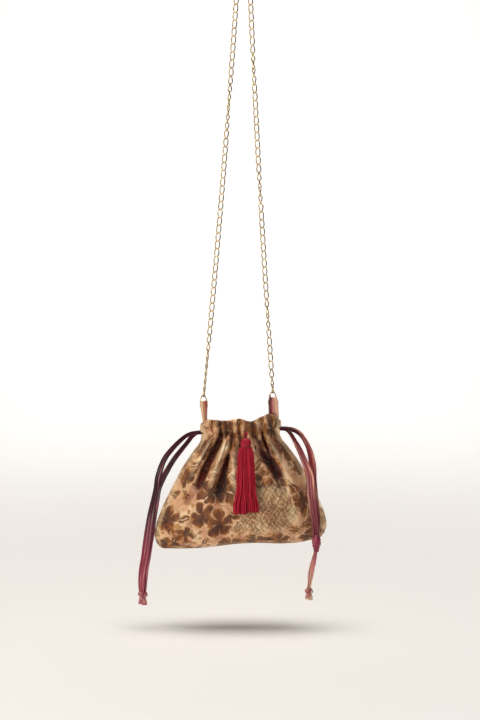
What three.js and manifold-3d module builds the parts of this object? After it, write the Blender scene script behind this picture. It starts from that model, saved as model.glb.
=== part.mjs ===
// A drawstring pouch of cut velvet, hung on a curb chain by two ribbon tabs, with ribbon drawstrings
// that hang at both sides and a thread tassel at the front of the neck.
// Millimetres. The chain hangs over a hook at the origin, +Z is up and the front faces -Y.
import * as THREE from "three";
import { mergeVertices } from "three/addons/utils/BufferGeometryUtils.js";
import Module from "manifold-3d";

const wasm = await Module();
wasm.setup();

// Fit and hang
const CLEARANCE = 0.3; // gap between pieces that touch
const STRAP_DROP = 518; // hang point down to the tab line, at the middle of the neck
const NECK_X = -4; // the pouch hangs a little left of the hook
const BAG_SETBACK = 7.2; // the seam plane hangs behind the chain, with the tassel's weight in front
const HANG_SKEW = 0.055; // rise of the tab line, rim and seam for each millimetre to the right

// Pouch
const POUCH_WIDTH = 200;
const POUCH_DROP = 133; // gather line down to the bottom seam
const FRONT_DEPTH = 31; // how far the front panel bulges
const BACK_DEPTH = 36;
const NECK_WIDTH = 91;
const NECK_DEPTH = 11; // half the gathered neck, front to back
const FRILL_HEIGHT = 14.5; // gather line up to the rim
const RIM_FLARE = 4; // how far the rim leans out past the gather line
const CLOTH = 1.2;
const SEAM_ALLOWANCE = 5; // flat strip along each side seam
const PLEATS = 8; // in each panel
const PLEAT_HEIGHT = 5;
const PLEAT_SHARES = [0.8, 1, 0.7, 0.9, 1, 0.75, 1, 0.85]; // of that height, pleat by pleat
const PLEAT_RUN = 68; // how far below the gather line the folds die out

// Ribbon tabs and the wire rings that they turn on
const TAB_LENGTH = 22.2; // rim up to the ring's bar
const TAB_RIBBON = 0.9;
const TAB_TOP_WIDTH = 5.6;
const LEFT_TAB_WIDTH = 8.4;
const LEFT_TAB_INSET = 2.8; // from the end of the rim to the middle of the tab
const RIGHT_TAB_WIDTH = 12.6;
const RIGHT_TAB_INSET = 8;
const RING_WIRE = 1.2;
const RING_WIDTH = 8.4; // between the wire's middles
const RING_HEIGHT = 8;

// Curb chain
const LINK_PITCH = 9.1;
const LINK_WIDTH = 6.6;
const LINK_WIRE = 1.3;
const LINK_TWIST = 1; // how far each link's sides bend out of its plane
const LINK_GRIP = 0.58; // how deep neighbouring links are pressed into each other
const STRAND_BOW = 2; // how far each strand sags inwards of a straight line

// Ribbon drawstrings
const RIBBON_WIDTH = 9;
const RIBBON_THICKNESS = 1.6;
const RIBBON_SPREAD = 3; // how far the two ribbons of a side lie apart across their width
const SHOULDER_PARTING = 9; // how much further they part on their way out of the neck
const SHOULDER_POINTS = 9; // how many points of a route that takes
const TAIL_WIDTH = 6;
const END_KNOT_HEIGHT = 18;
const END_KNOT_WIDTH = 11;
const END_KNOT_WAIST = 0.7; // as a share of the width
const WRAP_HEIGHT = 20;
const WRAP_WIDTH = 11;
const WRAP_WAIST = 0.9;
const TAIL_KNOT_HEIGHT = 15;
const TAIL_KNOT_WIDTH = 9.4;
const TAIL_KNOT_WAIST = 0.8;

// Tassel
const TASSEL_X = 2; // where its loop is sewn to the gather line
const LOOP_CORD = 1.4;
const LOOP_WIDTH = 4.2;
const LOOP_LENGTH = 9;
const LOOP_LEAN = 1; // radians off the upright
const HEAD_WIDTH = 12;
const HEAD_HEIGHT = 10.5;
const HEAD_FLATNESS = 0.8; // depth of the head as a share of its width
const BINDING_HEIGHT = 2.6;
const BINDING_OVERHANG = 1; // how much wider than the head the binding is
const SKIRT_LENGTH = 74;
const SKIRT_TOP_WIDTH = 15;
const SKIRT_BOTTOM_WIDTH = 29;
const TASSEL_FLATNESS = 0.46; // depth of the skirt as a share of its width
const SKIRT_LOBES = 12;
const LOBE_AT_TOP = 0.04; // depth of the grooves between lobes as a share of the width
const LOBE_AT_BOTTOM = 0.12;

const VELVET = new THREE.MeshStandardMaterial({ color: 0x9a6a3a, roughness: 0.85, metalness: 0 });
const BACK_VELVET = VELVET.clone();
const RIBBON = new THREE.MeshStandardMaterial({ color: 0x8a2a42, roughness: 0.45, metalness: 0 });
const PINK_RIBBON = new THREE.MeshStandardMaterial({ color: 0xd08a80, roughness: 0.45, metalness: 0 });
const GILT = new THREE.MeshStandardMaterial({ color: 0xa8905a, roughness: 0.35, metalness: 1 });
const THREAD = new THREE.MeshStandardMaterial({ color: 0xb0183a, roughness: 0.7, metalness: 0 });

// Helpers

// A smooth curve through pairs of position and value.
function profile(pairs) {
  const at = pairs.map((pair) => pair[0]);
  const values = pairs.map((pair) => pair[1]);
  const curve = new THREE.CubicInterpolant(at, values, 1);
  return (position) => curve.evaluate(position)[0];
}

function geometryOf(points, triangles) {
  const flat = points.flatMap((point) => [point.x, point.y, point.z]);
  const geometry = new THREE.BufferGeometry();
  geometry.setAttribute("position", new THREE.Float32BufferAttribute(flat, 3));
  geometry.setIndex(triangles);
  return geometry;
}

function quad(a, b, c, d) {
  return [a, b, c, a, c, d];
}

// A wire of even section along a closed line of points that lies near the plane of the given normal.
function closedWire(points, diameter, sides, normal) {
  const count = points.length;
  const vertices = [];
  const triangles = [];
  for (let i = 0; i < count; i += 1) {
    const ahead = points[(i + 1) % count];
    const behind = points[(i + count - 1) % count];
    const tangent = ahead.clone().sub(behind).normalize();
    const across = tangent.clone().cross(normal).normalize();
    const lift = across.clone().cross(tangent);
    for (let k = 0; k < sides; k += 1) {
      const angle = (2 * Math.PI * k) / sides;
      const vertex = points[i].clone();
      vertex.addScaledVector(across, (Math.cos(angle) * diameter) / 2);
      vertex.addScaledVector(lift, (Math.sin(angle) * diameter) / 2);
      vertices.push(vertex);
      const next = (i + 1) % count;
      const turn = (k + 1) % sides;
      triangles.push(...quad(i * sides + k, next * sides + k, next * sides + turn, i * sides + turn));
    }
  }
  return geometryOf(vertices, triangles);
}

// A closed body lofted through rings of equally many points, from the first ring to the last.
function loft(rings) {
  const count = rings[0].length;
  const vertices = rings.flat();
  const triangles = [];
  for (let row = 0; row + 1 < rings.length; row += 1) {
    for (let k = 0; k < count; k += 1) {
      const turn = (k + 1) % count;
      const low = row * count;
      triangles.push(...quad(low + k, low + turn, low + count + turn, low + count + k));
    }
  }
  const last = (rings.length - 1) * count;
  for (let k = 1; k + 1 < count; k += 1) {
    triangles.push(0, k + 1, k);
    triangles.push(last, last + k, last + k + 1);
  }
  return geometryOf(vertices, triangles);
}

function solidOf(geometry) {
  const bare = geometry.clone();
  bare.deleteAttribute("normal");
  bare.deleteAttribute("uv");
  const merged = mergeVertices(bare, 1e-4);
  const vertProperties = new Float32Array(merged.attributes.position.array);
  const triVerts = new Uint32Array(merged.index.array);
  return new wasm.Manifold(new wasm.Mesh({ numProp: 3, vertProperties, triVerts }));
}

function geometryFromSolid(solid) {
  const mesh = solid.getMesh();
  const geometry = new THREE.BufferGeometry();
  geometry.setAttribute("position", new THREE.BufferAttribute(mesh.vertProperties, mesh.numProp));
  geometry.setIndex(new THREE.BufferAttribute(mesh.triVerts, 1));
  return geometry;
}

function fuse(geometries) {
  let solid = solidOf(geometries[0]);
  for (const geometry of geometries.slice(1)) {
    solid = solid.add(solidOf(geometry));
  }
  return geometryFromSolid(solid);
}

function piece(name, geometry, material) {
  const mesh = new THREE.Mesh(geometry, material.clone());
  mesh.name = name;
  return mesh;
}

// Heights that the skewed hang gives at each distance to the right
const tabLineZ = (x) => -STRAP_DROP + HANG_SKEW * (x - NECK_X);
const rimZ = (x) => tabLineZ(x) - TAB_LENGTH;
const gatherZ = (x) => rimZ(x) - FRILL_HEIGHT;
const NECK_LEFT = NECK_X - NECK_WIDTH / 2;
const NECK_RIGHT = NECK_X + NECK_WIDTH / 2;

// Pouch: two panels, each a gathered shell, open at the mouth
const FLARE = profile([
  [0, 0],
  [0.07, 0.02],
  [0.16, 0.18],
  [0.29, 0.4],
  [0.46, 0.62],
  [0.66, 0.86],
  [0.83, 0.985],
  [0.92, 1],
  [1, 0.95],
]);
const BULGE_WIDEST = 0.64; // share of the drop at which the pouch is deepest
const BULGE = profile([
  [0, 0],
  [0.16, 0.22],
  [0.4, 0.7],
  [BULGE_WIDEST, 1],
  [0.82, 0.86],
  [0.94, 0.5],
  [0.98, 0.24],
  [1, 0],
]);
const ROW_SHARES = [0, 0.07, 0.15, 0.27, 0.42, 0.59, 0.76, 0.89, 0.97, 1];
const COLUMNS_PER_PLEAT = 4;
const SECTION_POWER = 2.6; // how square the pouch is across its width
const SECTION_ROUNDING = 0.7;

function halfWidthAt(drop) {
  const share = Math.max(0, drop / POUCH_DROP);
  return NECK_WIDTH / 2 + ((POUCH_WIDTH - NECK_WIDTH) / 2) * FLARE(share);
}

// How far the middle of a panel stands out from the seam plane, between its folds.
function middleOut(drop, depth) {
  const share = Math.max(0, drop / POUCH_DROP);
  const neckShare = 1 - THREE.MathUtils.smoothstep(share, 0, BULGE_WIDEST);
  const rimLean = RIM_FLARE * Math.max(0, -drop / FRILL_HEIGHT);
  return NECK_DEPTH * neckShare + rimLean + depth * BULGE(share);
}

function foldHeight(drop) {
  return PLEAT_HEIGHT * (1 - THREE.MathUtils.smoothstep(drop, 0, PLEAT_RUN));
}

// How far any point of a panel stands out, across runs from -1 to 1 between the side seams.
function standOut(across, drop, depth) {
  const section = Math.pow(1 - Math.pow(Math.abs(across), SECTION_POWER), SECTION_ROUNDING);
  const pleat = (PLEATS * (across + 1)) / 2;
  const share = PLEAT_SHARES[Math.min(PLEATS - 1, Math.floor(pleat))];
  const wave = (share * (1 - Math.cos(2 * Math.PI * pleat))) / 2;
  return middleOut(drop, depth) * section + foldHeight(drop) * wave;
}

function panelShell(facing, depth) {
  const drops = [-FRILL_HEIGHT, ...ROW_SHARES.map((share) => share * POUCH_DROP)];
  const steps = PLEATS * COLUMNS_PER_PLEAT;
  const columns = steps + 3;
  const skins = [CLOTH, 0].map((thickness) => {
    const rows = drops.map((drop) => {
      const half = halfWidthAt(drop);
      const row = [];
      for (let i = 0; i < columns; i += 1) {
        const across = THREE.MathUtils.clamp((2 * (i - 1)) / steps - 1, -1, 1);
        const seamStep = Math.sign(across) * SEAM_ALLOWANCE * (i === 0 || i === columns - 1 ? 1 : 0);
        const x = NECK_X + across * (half - SEAM_ALLOWANCE) + seamStep;
        const y = facing * (CLEARANCE / 2 + thickness + standOut(across, drop, depth));
        row.push(new THREE.Vector3(x, y, gatherZ(x) - drop));
      }
      return row;
    });
    return rows;
  });
  const rows = drops.length;
  const inner = rows * columns;
  const vertices = skins.flat(2);
  const triangles = [];
  const addFace = (a, b, c, d) => {
    triangles.push(...(facing < 0 ? quad(a, b, c, d) : quad(a, d, c, b)));
  };
  for (let r = 0; r + 1 < rows; r += 1) {
    for (let i = 0; i + 1 < columns; i += 1) {
      const a = r * columns + i;
      const b = a + columns;
      addFace(a, b, b + 1, a + 1);
      addFace(inner + a, inner + a + 1, inner + b + 1, inner + b);
    }
    const left = r * columns;
    const right = left + columns - 1;
    addFace(left, inner + left, inner + left + columns, left + columns);
    addFace(right, right + columns, inner + right + columns, inner + right);
  }
  for (let i = 0; i + 1 < columns; i += 1) {
    const bottom = (rows - 1) * columns + i;
    addFace(i, i + 1, inner + i + 1, inner + i);
    addFace(bottom, inner + bottom, inner + bottom + 1, bottom + 1);
  }
  return geometryOf(vertices, triangles);
}

// Ribbon tab: a strip folded round the ring's bar and sewn to the end of the rim
function tabGeometry(width) {
  const eye = RING_WIRE / 2 + CLEARANCE;
  const outer = eye + TAB_RIBBON;
  const stripHalf = TAB_RIBBON;
  const seat = -Math.hypot(TAB_LENGTH, BAG_SETBACK) + CLEARANCE;
  const shoulder = -Math.sqrt(outer * outer - stripHalf * stripHalf);
  const side = new THREE.Shape();
  side.moveTo(-stripHalf, seat);
  side.lineTo(stripHalf, seat);
  side.lineTo(stripHalf, shoulder);
  const start = Math.atan2(shoulder, stripHalf);
  side.absarc(0, 0, outer, start, Math.PI - start, false);
  side.closePath();
  const hole = new THREE.Path();
  hole.absarc(0, 0, eye, 0, 2 * Math.PI, true);
  side.holes.push(hole);
  const folded = new THREE.ExtrudeGeometry(side, { depth: width, bevelEnabled: false, curveSegments: 6 });
  folded.translate(0, 0, -width / 2);
  folded.applyMatrix4(new THREE.Matrix4().makeBasis(Y_AXIS, Z_AXIS, X_AXIS));

  const front = new THREE.Shape();
  front.moveTo(-width / 2, seat - outer);
  front.lineTo(width / 2, seat - outer);
  front.lineTo(width / 2, seat + TAB_LENGTH / 3);
  front.lineTo(TAB_TOP_WIDTH / 2, -outer);
  front.lineTo(TAB_TOP_WIDTH / 2, 2 * outer);
  front.lineTo(-TAB_TOP_WIDTH / 2, 2 * outer);
  front.lineTo(-TAB_TOP_WIDTH / 2, -outer);
  front.lineTo(-width / 2, seat + TAB_LENGTH / 3);
  front.closePath();
  const outline = new THREE.ExtrudeGeometry(front, { depth: 4 * outer, bevelEnabled: false });
  outline.translate(0, 0, -2 * outer);
  outline.rotateX(Math.PI / 2);
  return geometryFromSolid(solidOf(folded).intersect(solidOf(outline)));
}

// End ring: a straight bar under the tab and a pointed arch up through the last link
const RING_ARCH_STEPS = 8;
const RING_SIDES = 6;
const RING_ARCH_POWER = 2.4; // 1 is a triangle and higher powers are rounder

function ringGeometry() {
  const points = [];
  for (let i = 0; i <= RING_ARCH_STEPS; i += 1) {
    const along = (2 * i) / RING_ARCH_STEPS - 1;
    const rise = 1 - Math.pow(Math.abs(along), RING_ARCH_POWER);
    points.push(new THREE.Vector3((-along * RING_WIDTH) / 2, 0, RING_HEIGHT * rise));
  }
  return closedWire(points, RING_WIRE, RING_SIDES, Y_AXIS);
}

// Curb chain: oval links with a half twist, so that each lies flat against the next
const X_AXIS = new THREE.Vector3(1, 0, 0);
const Y_AXIS = new THREE.Vector3(0, 1, 0);
const Z_AXIS = new THREE.Vector3(0, 0, 1);
const LINK_STEPS = 6;
const LINK_SIDES = 4;
const topHalf = (LINK_PITCH + LINK_WIRE - LINK_GRIP) / 2;

// A link with flat crowns, halfLength above and below its middle.
function linkGeometry(halfLength, twist) {
  const step = (2 * Math.PI) / LINK_STEPS;
  const points = [];
  for (let i = 0; i < LINK_STEPS; i += 1) {
    const angle = (i + 0.5) * step;
    const x = ((LINK_WIDTH - LINK_WIRE) / 2) * Math.sin(angle);
    const z = (halfLength * Math.cos(angle)) / Math.cos(step / 2);
    points.push(new THREE.Vector3(x, twist * Math.sin(2 * angle), z));
  }
  return closedWire(points, LINK_WIRE, LINK_SIDES, Y_AXIS);
}

// A strand of links pressed together, from its upper crown to its lower one, turning as it hangs.
function strandGeometry(top, bottom, turns) {
  const bow = new THREE.Vector3(-Math.sign(bottom.x) * STRAND_BOW * 2, 0, 0);
  const middle = top.clone().lerp(bottom, 0.5).add(bow);
  const line = new THREE.QuadraticBezierCurve3(top, middle, bottom);
  const engage = LINK_WIRE - LINK_GRIP;
  const length = line.getLength();
  const count = Math.round((length - engage) / LINK_PITCH);
  const pitch = (length - engage) / count;
  const turnAt = turnProfile(turns);
  const links = [];
  for (let i = 0; i < count; i += 1) {
    const along = engage / 2 + (i + 0.5) * pitch;
    const down = line.getTangentAt(along / length);
    const link = linkGeometry((pitch + engage) / 2, LINK_TWIST);
    link.rotateZ(turnAt(along));
    link.applyQuaternion(new THREE.Quaternion().setFromUnitVectors(Z_AXIS, down.negate()));
    link.translate(...line.getPointAt(along / length).toArray());
    links.push(link);
  }
  return fuse(links);
}

// Straight steps between pairs of distance and quarter turns, in radians.
function turnProfile(pairs) {
  const at = pairs.map((pair) => pair[0]);
  const values = pairs.map((pair) => (pair[1] * Math.PI) / 2);
  const steps = new THREE.LinearInterpolant(at, values, 1);
  return (position) => steps.evaluate(position)[0];
}

// Where each strand lies face-on and edge-on, in millimetres down the strand
const LEFT_TURNS = [
  [0, 0],
  [127, 0],
  [181, 1],
  [231, 2],
  [430, 2],
  [470, 3],
];
const RIGHT_TURNS = [
  [0, 0],
  [104, 0],
  [135, 1],
  [168, 2],
  [243, 2],
  [277, 3],
  [306, 4],
  [393, 4],
  [420, 5],
  [457, 6],
  [480, 6],
  [502, 7],
];

// Drawstrings: two ribbons at each side, on routes of x, y and z
const LEFT_ROUTE = [
  [-50.5, 0, -556.5],
  [-57, 0, -557],
  [-63.5, 0, -560.5],
  [-71, -1, -568],
  [-78, -1.5, -576],
  [-84, -2, -583.5],
  [-89, -2, -591.5],
  [-93, -2.5, -600],
  [-97, -2.5, -610],
  [-100, -3, -621],
  [-102.5, -3, -633],
  [-105, -3, -646],
  [-107.6, -3, -659],
  [-109.8, -3, -672],
  [-111.7, -3, -685],
  [-114, -3, -701],
  [-116.6, -3, -715],
  [-117.8, -3, -728],
  [-118, -3, -741],
];
const RIGHT_ROUTE = [
  [42.6, 0, -552],
  [48.6, 0, -552.3],
  [54.5, 0, -554],
  [59.8, -2, -558],
  [64, -5.5, -564],
  [68, -10, -571],
  [71.5, -14, -579],
  [74.3, -17, -588],
  [76.5, -19.5, -597],
  [77.8, -21, -606],
  [78.6, -22, -616],
  [79.4, -22.5, -626],
  [80.5, -22.5, -636],
  [81.8, -22.5, -646],
  [83, -22, -656],
  [83.6, -21.5, -665],
  [83.8, -21, -673],
];
const TAIL_ROUTE = [
  [82.8, -21, -693.7],
  [81, -21, -703],
  [78.4, -21, -714],
  [76.6, -21, -725],
  [75.3, -21, -735],
];
const RIBBON_STEPS = 9;
const TAIL_STEPS = 4;
const KNOT_SIDES = 8;

function ribbonGeometry(route, width, steps) {
  const section = new THREE.Shape();
  const x = RIBBON_THICKNESS / 2;
  const y = width / 2;
  const bevel = RIBBON_THICKNESS / 4;
  section.moveTo(x - bevel, -y);
  section.lineTo(x, -y + bevel);
  section.lineTo(x, y - bevel);
  section.lineTo(x - bevel, y);
  section.lineTo(-x + bevel, y);
  section.lineTo(-x, y - bevel);
  section.lineTo(-x, -y + bevel);
  section.lineTo(-x + bevel, -y);
  section.closePath();
  const path = new THREE.CatmullRomCurve3(route.map((point) => new THREE.Vector3(...point)));
  return new THREE.ExtrudeGeometry(section, { steps, extrudePath: path });
}

// One of the two ribbons that lie on each other: which is -1 for the front one and 1 for the back one.
function strandRoute(route, which) {
  const apart = (RIBBON_THICKNESS + CLEARANCE) / 2;
  return route.map((point, i) => {
    const shoulder = Math.sin(Math.PI * Math.min(1, i / SHOULDER_POINTS));
    const spread = (RIBBON_SPREAD * Math.min(1, i / 3) + SHOULDER_PARTING * shoulder) / 2;
    const deep = apart + (RIBBON_THICKNESS / 2) * shoulder;
    return [point[0] + which * spread, point[1] + which * deep, point[2]];
  });
}

// A knot with a waist between its lobes, hanging from its top.
function knotGeometry(width, height, waist) {
  const rows = [
    [0, 0],
    [0.3, 0.03],
    [0.5, 0.25],
    [waist / 2, 0.48],
    [0.47, 0.72],
    [0.28, 0.96],
    [0, 1],
  ];
  const outline = rows.map((row) => new THREE.Vector2(row[0] * width, (row[1] - 1) * height));
  const knot = new THREE.LatheGeometry(outline, KNOT_SIDES);
  knot.rotateX(Math.PI / 2);
  return knot;
}

function knotUnder(name, route, width, height, waist, material) {
  const end = route[route.length - 1];
  const knot = piece(name, knotGeometry(width, height, waist), material);
  knot.position.set(end[0], end[1], end[2] - CLEARANCE);
  return knot;
}

// Tassel: a sewn loop, a bound head and a skirt of thread, hanging down its own Z axis
const SKIRT_ROWS = [
  [0, 0],
  [0.12, 0.35],
  [0.45, 0.62],
  [0.8, 0.9],
  [1, 1],
];
const LOBE_POINTS = 2;
const HEAD_SIDES = 12;
const LOOP_STEPS = 8;
const LOOP_SIDES = 5;

function flatRing(width, depth, z, lobe) {
  const count = SKIRT_LOBES * LOBE_POINTS;
  const ring = [];
  for (let k = 0; k < count; k += 1) {
    const angle = (2 * Math.PI * k) / count;
    const reach = k % LOBE_POINTS ? 1 : 1 - lobe;
    const x = (Math.cos(angle) * reach * width) / 2;
    const y = (Math.sin(angle) * reach * depth) / 2;
    ring.push(new THREE.Vector3(x, y, z));
  }
  return ring;
}

const skirtWidth = (spread) => THREE.MathUtils.lerp(SKIRT_TOP_WIDTH, SKIRT_BOTTOM_WIDTH, spread);

function skirtGeometry() {
  const rings = SKIRT_ROWS.map(([share, spread]) => {
    const width = skirtWidth(spread);
    const lobe = THREE.MathUtils.lerp(LOBE_AT_TOP, LOBE_AT_BOTTOM, share);
    return flatRing(width, width * TASSEL_FLATNESS, -share * SKIRT_LENGTH, lobe);
  });
  return loft(rings.reverse());
}

function headGeometry() {
  const outline = [
    [0, 0],
    [0.5, 0.04],
    [0.5, 0.4],
    [0.4, 0.75],
    [0.2, 0.95],
    [0, 1],
  ];
  const points = outline.map((row) => new THREE.Vector2(row[0] * HEAD_WIDTH, (row[1] - 1) * HEAD_HEIGHT));
  const head = new THREE.LatheGeometry(points, HEAD_SIDES);
  head.rotateX(Math.PI / 2);
  head.scale(1, HEAD_FLATNESS, 1);
  return head;
}

function bindingGeometry() {
  const rows = [
    [0.96, 0],
    [1.06, 0.5],
    [0.96, 1],
  ];
  const rings = rows.map((row) => {
    const width = HEAD_WIDTH * row[0] + BINDING_OVERHANG;
    return flatRing(width, width * HEAD_FLATNESS, (row[1] - 1) * BINDING_HEIGHT, 0);
  });
  return loft(rings);
}

function loopGeometry() {
  const points = [];
  for (let i = 0; i < LOOP_STEPS; i += 1) {
    const angle = (2 * Math.PI * i) / LOOP_STEPS;
    const x = ((LOOP_WIDTH - LOOP_CORD) / 2) * Math.sin(angle);
    points.push(new THREE.Vector3(x, 0, ((LOOP_LENGTH - LOOP_CORD) / 2) * Math.cos(angle)));
  }
  return closedWire(points, LOOP_CORD, LOOP_SIDES, Y_AXIS);
}

// The whole bag: the chain's strands and tabs hang from the hook, and the pouch hangs from the tabs
const whole = new THREE.Group();
const bag = new THREE.Group();
bag.position.y = BAG_SETBACK;
whole.add(bag);
bag.add(piece("front_panel", panelShell(-1, FRONT_DEPTH), VELVET));
bag.add(piece("back_panel", panelShell(1, BACK_DEPTH), BACK_VELVET));

const TAB_LINE_TILT = Math.atan(HANG_SKEW);

// How far the middle of a wire lies from the middle of the link's crown that it hangs loose in.
const hookedDistance = (wire) => wire / 2 + LINK_WIRE / 2 + CLEARANCE;

function hangSide(side, tabX, tabWidth, topX, turns) {
  const tab = piece(side + "_tab", tabGeometry(tabWidth), PINK_RIBBON);
  tab.position.set(tabX, 0, tabLineZ(tabX));
  tab.rotation.set(Math.atan2(BAG_SETBACK, TAB_LENGTH), -TAB_LINE_TILT, 0, "YXZ");
  const ring = piece(side + "_end_ring", ringGeometry(), GILT);
  ring.position.copy(tab.position);
  ring.rotation.y = -TAB_LINE_TILT;
  const top = new THREE.Vector3(topX, 0, hookedDistance(LINK_WIRE));
  const apexZ = tabLineZ(tabX) + RING_HEIGHT;
  const bottom = new THREE.Vector3(tabX, 0, apexZ - hookedDistance(RING_WIRE));
  whole.add(tab, ring, piece(side + "_chain", strandGeometry(top, bottom, turns), GILT));
}

const topLink = piece("top_link", linkGeometry(topHalf, 0), GILT);
topLink.rotation.set(Math.PI / 2, Math.PI / 2, 0);
whole.add(topLink);
hangSide("left", NECK_LEFT + LEFT_TAB_INSET, LEFT_TAB_WIDTH, -topHalf, LEFT_TURNS);
hangSide("right", NECK_RIGHT - RIGHT_TAB_INSET, RIGHT_TAB_WIDTH, topHalf, RIGHT_TURNS);

for (const [which, place] of [[-1, "front"], [1, "back"]]) {
  const left = strandRoute(LEFT_ROUTE, which);
  const right = strandRoute(RIGHT_ROUTE, which);
  bag.add(piece("left_drawstring_" + place, ribbonGeometry(left, RIBBON_WIDTH, RIBBON_STEPS), RIBBON));
  bag.add(piece("right_drawstring_" + place, ribbonGeometry(right, RIBBON_WIDTH, RIBBON_STEPS), RIBBON));
}
bag.add(knotUnder("left_end_knot", LEFT_ROUTE, END_KNOT_WIDTH, END_KNOT_HEIGHT, END_KNOT_WAIST, PINK_RIBBON));
bag.add(knotUnder("right_wrap_knot", RIGHT_ROUTE, WRAP_WIDTH, WRAP_HEIGHT, WRAP_WAIST, RIBBON));
bag.add(piece("right_tail", ribbonGeometry(TAIL_ROUTE, TAIL_WIDTH, TAIL_STEPS), PINK_RIBBON));
bag.add(
  knotUnder("right_end_knot", TAIL_ROUTE, TAIL_KNOT_WIDTH, TAIL_KNOT_HEIGHT, TAIL_KNOT_WAIST, PINK_RIBBON),
);

const tassel = new THREE.Group();
const neckFront = CLEARANCE / 2 + CLOTH + middleOut(0, FRONT_DEPTH) + foldHeight(0);
const loopTop = neckFront + CLEARANCE + LOOP_CORD / 2;
tassel.position.set(TASSEL_X, -loopTop, gatherZ(TASSEL_X));
const loopSpan = LOOP_LENGTH - LOOP_CORD;
const loop = piece("tassel_loop", loopGeometry(), THREAD);
loop.rotation.x = -LOOP_LEAN;
loop.position.set(0, (-loopSpan / 2) * Math.sin(LOOP_LEAN), (-loopSpan / 2) * Math.cos(LOOP_LEAN));
tassel.add(loop);

const headTop = -LOOP_CORD / 2 - CLEARANCE;
const bindingTop = headTop - HEAD_HEIGHT - CLEARANCE;
const skirtTop = bindingTop - BINDING_HEIGHT - CLEARANCE;

// The tassel leans off the upright just as far as the pouch's bulge behind its skirt asks.
function restingLean(startOut, startDrop) {
  const leans = SKIRT_ROWS.map(([share, spread]) => {
    const reach = share * SKIRT_LENGTH - skirtTop;
    const drop = startDrop + reach;
    const cloth = CLEARANCE / 2 + CLOTH + middleOut(drop, FRONT_DEPTH) + foldHeight(drop);
    const skirtHalf = (skirtWidth(spread) * TASSEL_FLATNESS) / 2;
    return Math.asin((cloth + CLEARANCE + skirtHalf - startOut) / reach);
  });
  return Math.max(...leans);
}

const hanging = new THREE.Group();
const hangOut = loopSpan * Math.sin(LOOP_LEAN);
const hangDrop = loopSpan * Math.cos(LOOP_LEAN);
hanging.position.set(0, -hangOut, -hangDrop);
hanging.rotation.x = -restingLean(loopTop + hangOut, hangDrop);
const head = piece("tassel_head", headGeometry(), THREAD);
head.position.z = headTop;
const binding = piece("tassel_binding", bindingGeometry(), THREAD);
binding.position.z = bindingTop;
const skirt = piece("tassel_skirt", skirtGeometry(), THREAD);
skirt.position.z = skirtTop;
hanging.add(head, binding, skirt);
tassel.add(hanging);
bag.add(tassel);

export default whole;
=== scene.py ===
# %% [markdown]
# A gathered velvet pouch hangs from a curb chain by two ribbon tabs. The CAD frame
# gives every piece its size and place. This lesson dresses that frame piece by piece:
# ribbons, cloth, chain, tabs and tassel, then a pale stage and soft studio light.
# Lengths are written in millimetres and turned into metres where a mesh is made.

# %% Load the frame
import math

import bpy
import numpy as np
from mathutils import Euler, Matrix, Vector


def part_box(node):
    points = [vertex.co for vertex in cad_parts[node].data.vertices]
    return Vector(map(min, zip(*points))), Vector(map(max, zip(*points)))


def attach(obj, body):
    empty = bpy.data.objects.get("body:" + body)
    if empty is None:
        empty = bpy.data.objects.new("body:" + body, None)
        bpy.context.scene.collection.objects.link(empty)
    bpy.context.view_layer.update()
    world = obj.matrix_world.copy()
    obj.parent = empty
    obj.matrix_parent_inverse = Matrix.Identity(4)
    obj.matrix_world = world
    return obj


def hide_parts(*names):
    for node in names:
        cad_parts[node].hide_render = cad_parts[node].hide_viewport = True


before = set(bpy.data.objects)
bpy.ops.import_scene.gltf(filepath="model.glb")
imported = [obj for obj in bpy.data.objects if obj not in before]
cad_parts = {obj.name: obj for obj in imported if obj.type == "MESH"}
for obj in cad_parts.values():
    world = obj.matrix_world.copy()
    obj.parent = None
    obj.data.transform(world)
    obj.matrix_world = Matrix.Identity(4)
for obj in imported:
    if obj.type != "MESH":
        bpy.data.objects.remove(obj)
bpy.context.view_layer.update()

MM = 0.001
rng = np.random.default_rng(7)
print("CAD nodes", len(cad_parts))

# %% [markdown]
# Small helpers come first. One turns a colour as seen on a screen into the linear
# values that a shader works with, one makes a mesh from rows of points, and one
# stores a value on every vertex for a material to read.

# %% Helpers for colour and mesh
def linear(hex_colour):
    """An sRGB hex colour as linear red, green, blue and alpha."""
    screen = [int(hex_colour[i:i + 2], 16) / 255 for i in (1, 3, 5)]
    light = [c / 12.92 if c <= 0.04045 else ((c + 0.055) / 1.055) ** 2.4 for c in screen]
    return (*light, 1.0)


def mesh_object(name, points, faces):
    """A smooth-shaded mesh object from points in millimetres."""
    mesh = bpy.data.meshes.new(name)
    mesh.from_pydata((np.asarray(points, float) * MM).tolist(), [], faces)
    mesh.polygons.foreach_set("use_smooth", [True] * len(mesh.polygons))
    mesh.update()
    obj = bpy.data.objects.new(name, mesh)
    bpy.context.collection.objects.link(obj)
    return obj


def grid_faces(rows, columns, first=0, wrap=False):
    """The quads of a grid of points, row by row. A wrapped grid closes each row."""
    faces = []
    for r in range(rows - 1):
        for c in range(columns if wrap else columns - 1):
            a = first + r * columns + c
            b = first + r * columns + (c + 1) % columns
            faces.append((a, b, b + columns, a + columns))
    return faces


def store(obj, name, values):
    """Keeps a number or a vector for every vertex."""
    values = np.asarray(values, float)
    vector = values.ndim == 2
    layer = obj.data.attributes.new(name, "FLOAT_VECTOR" if vector else "FLOAT", "POINT")
    layer.data.foreach_set("vector" if vector else "value", values.ravel())


def keep_result(obj):
    """Replaces an object's mesh by what its modifiers make of it."""
    made = bpy.data.meshes.new_from_object(obj.evaluated_get(bpy.context.evaluated_depsgraph_get()))
    obj.modifiers.clear()
    obj.data = made
    return obj


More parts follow.
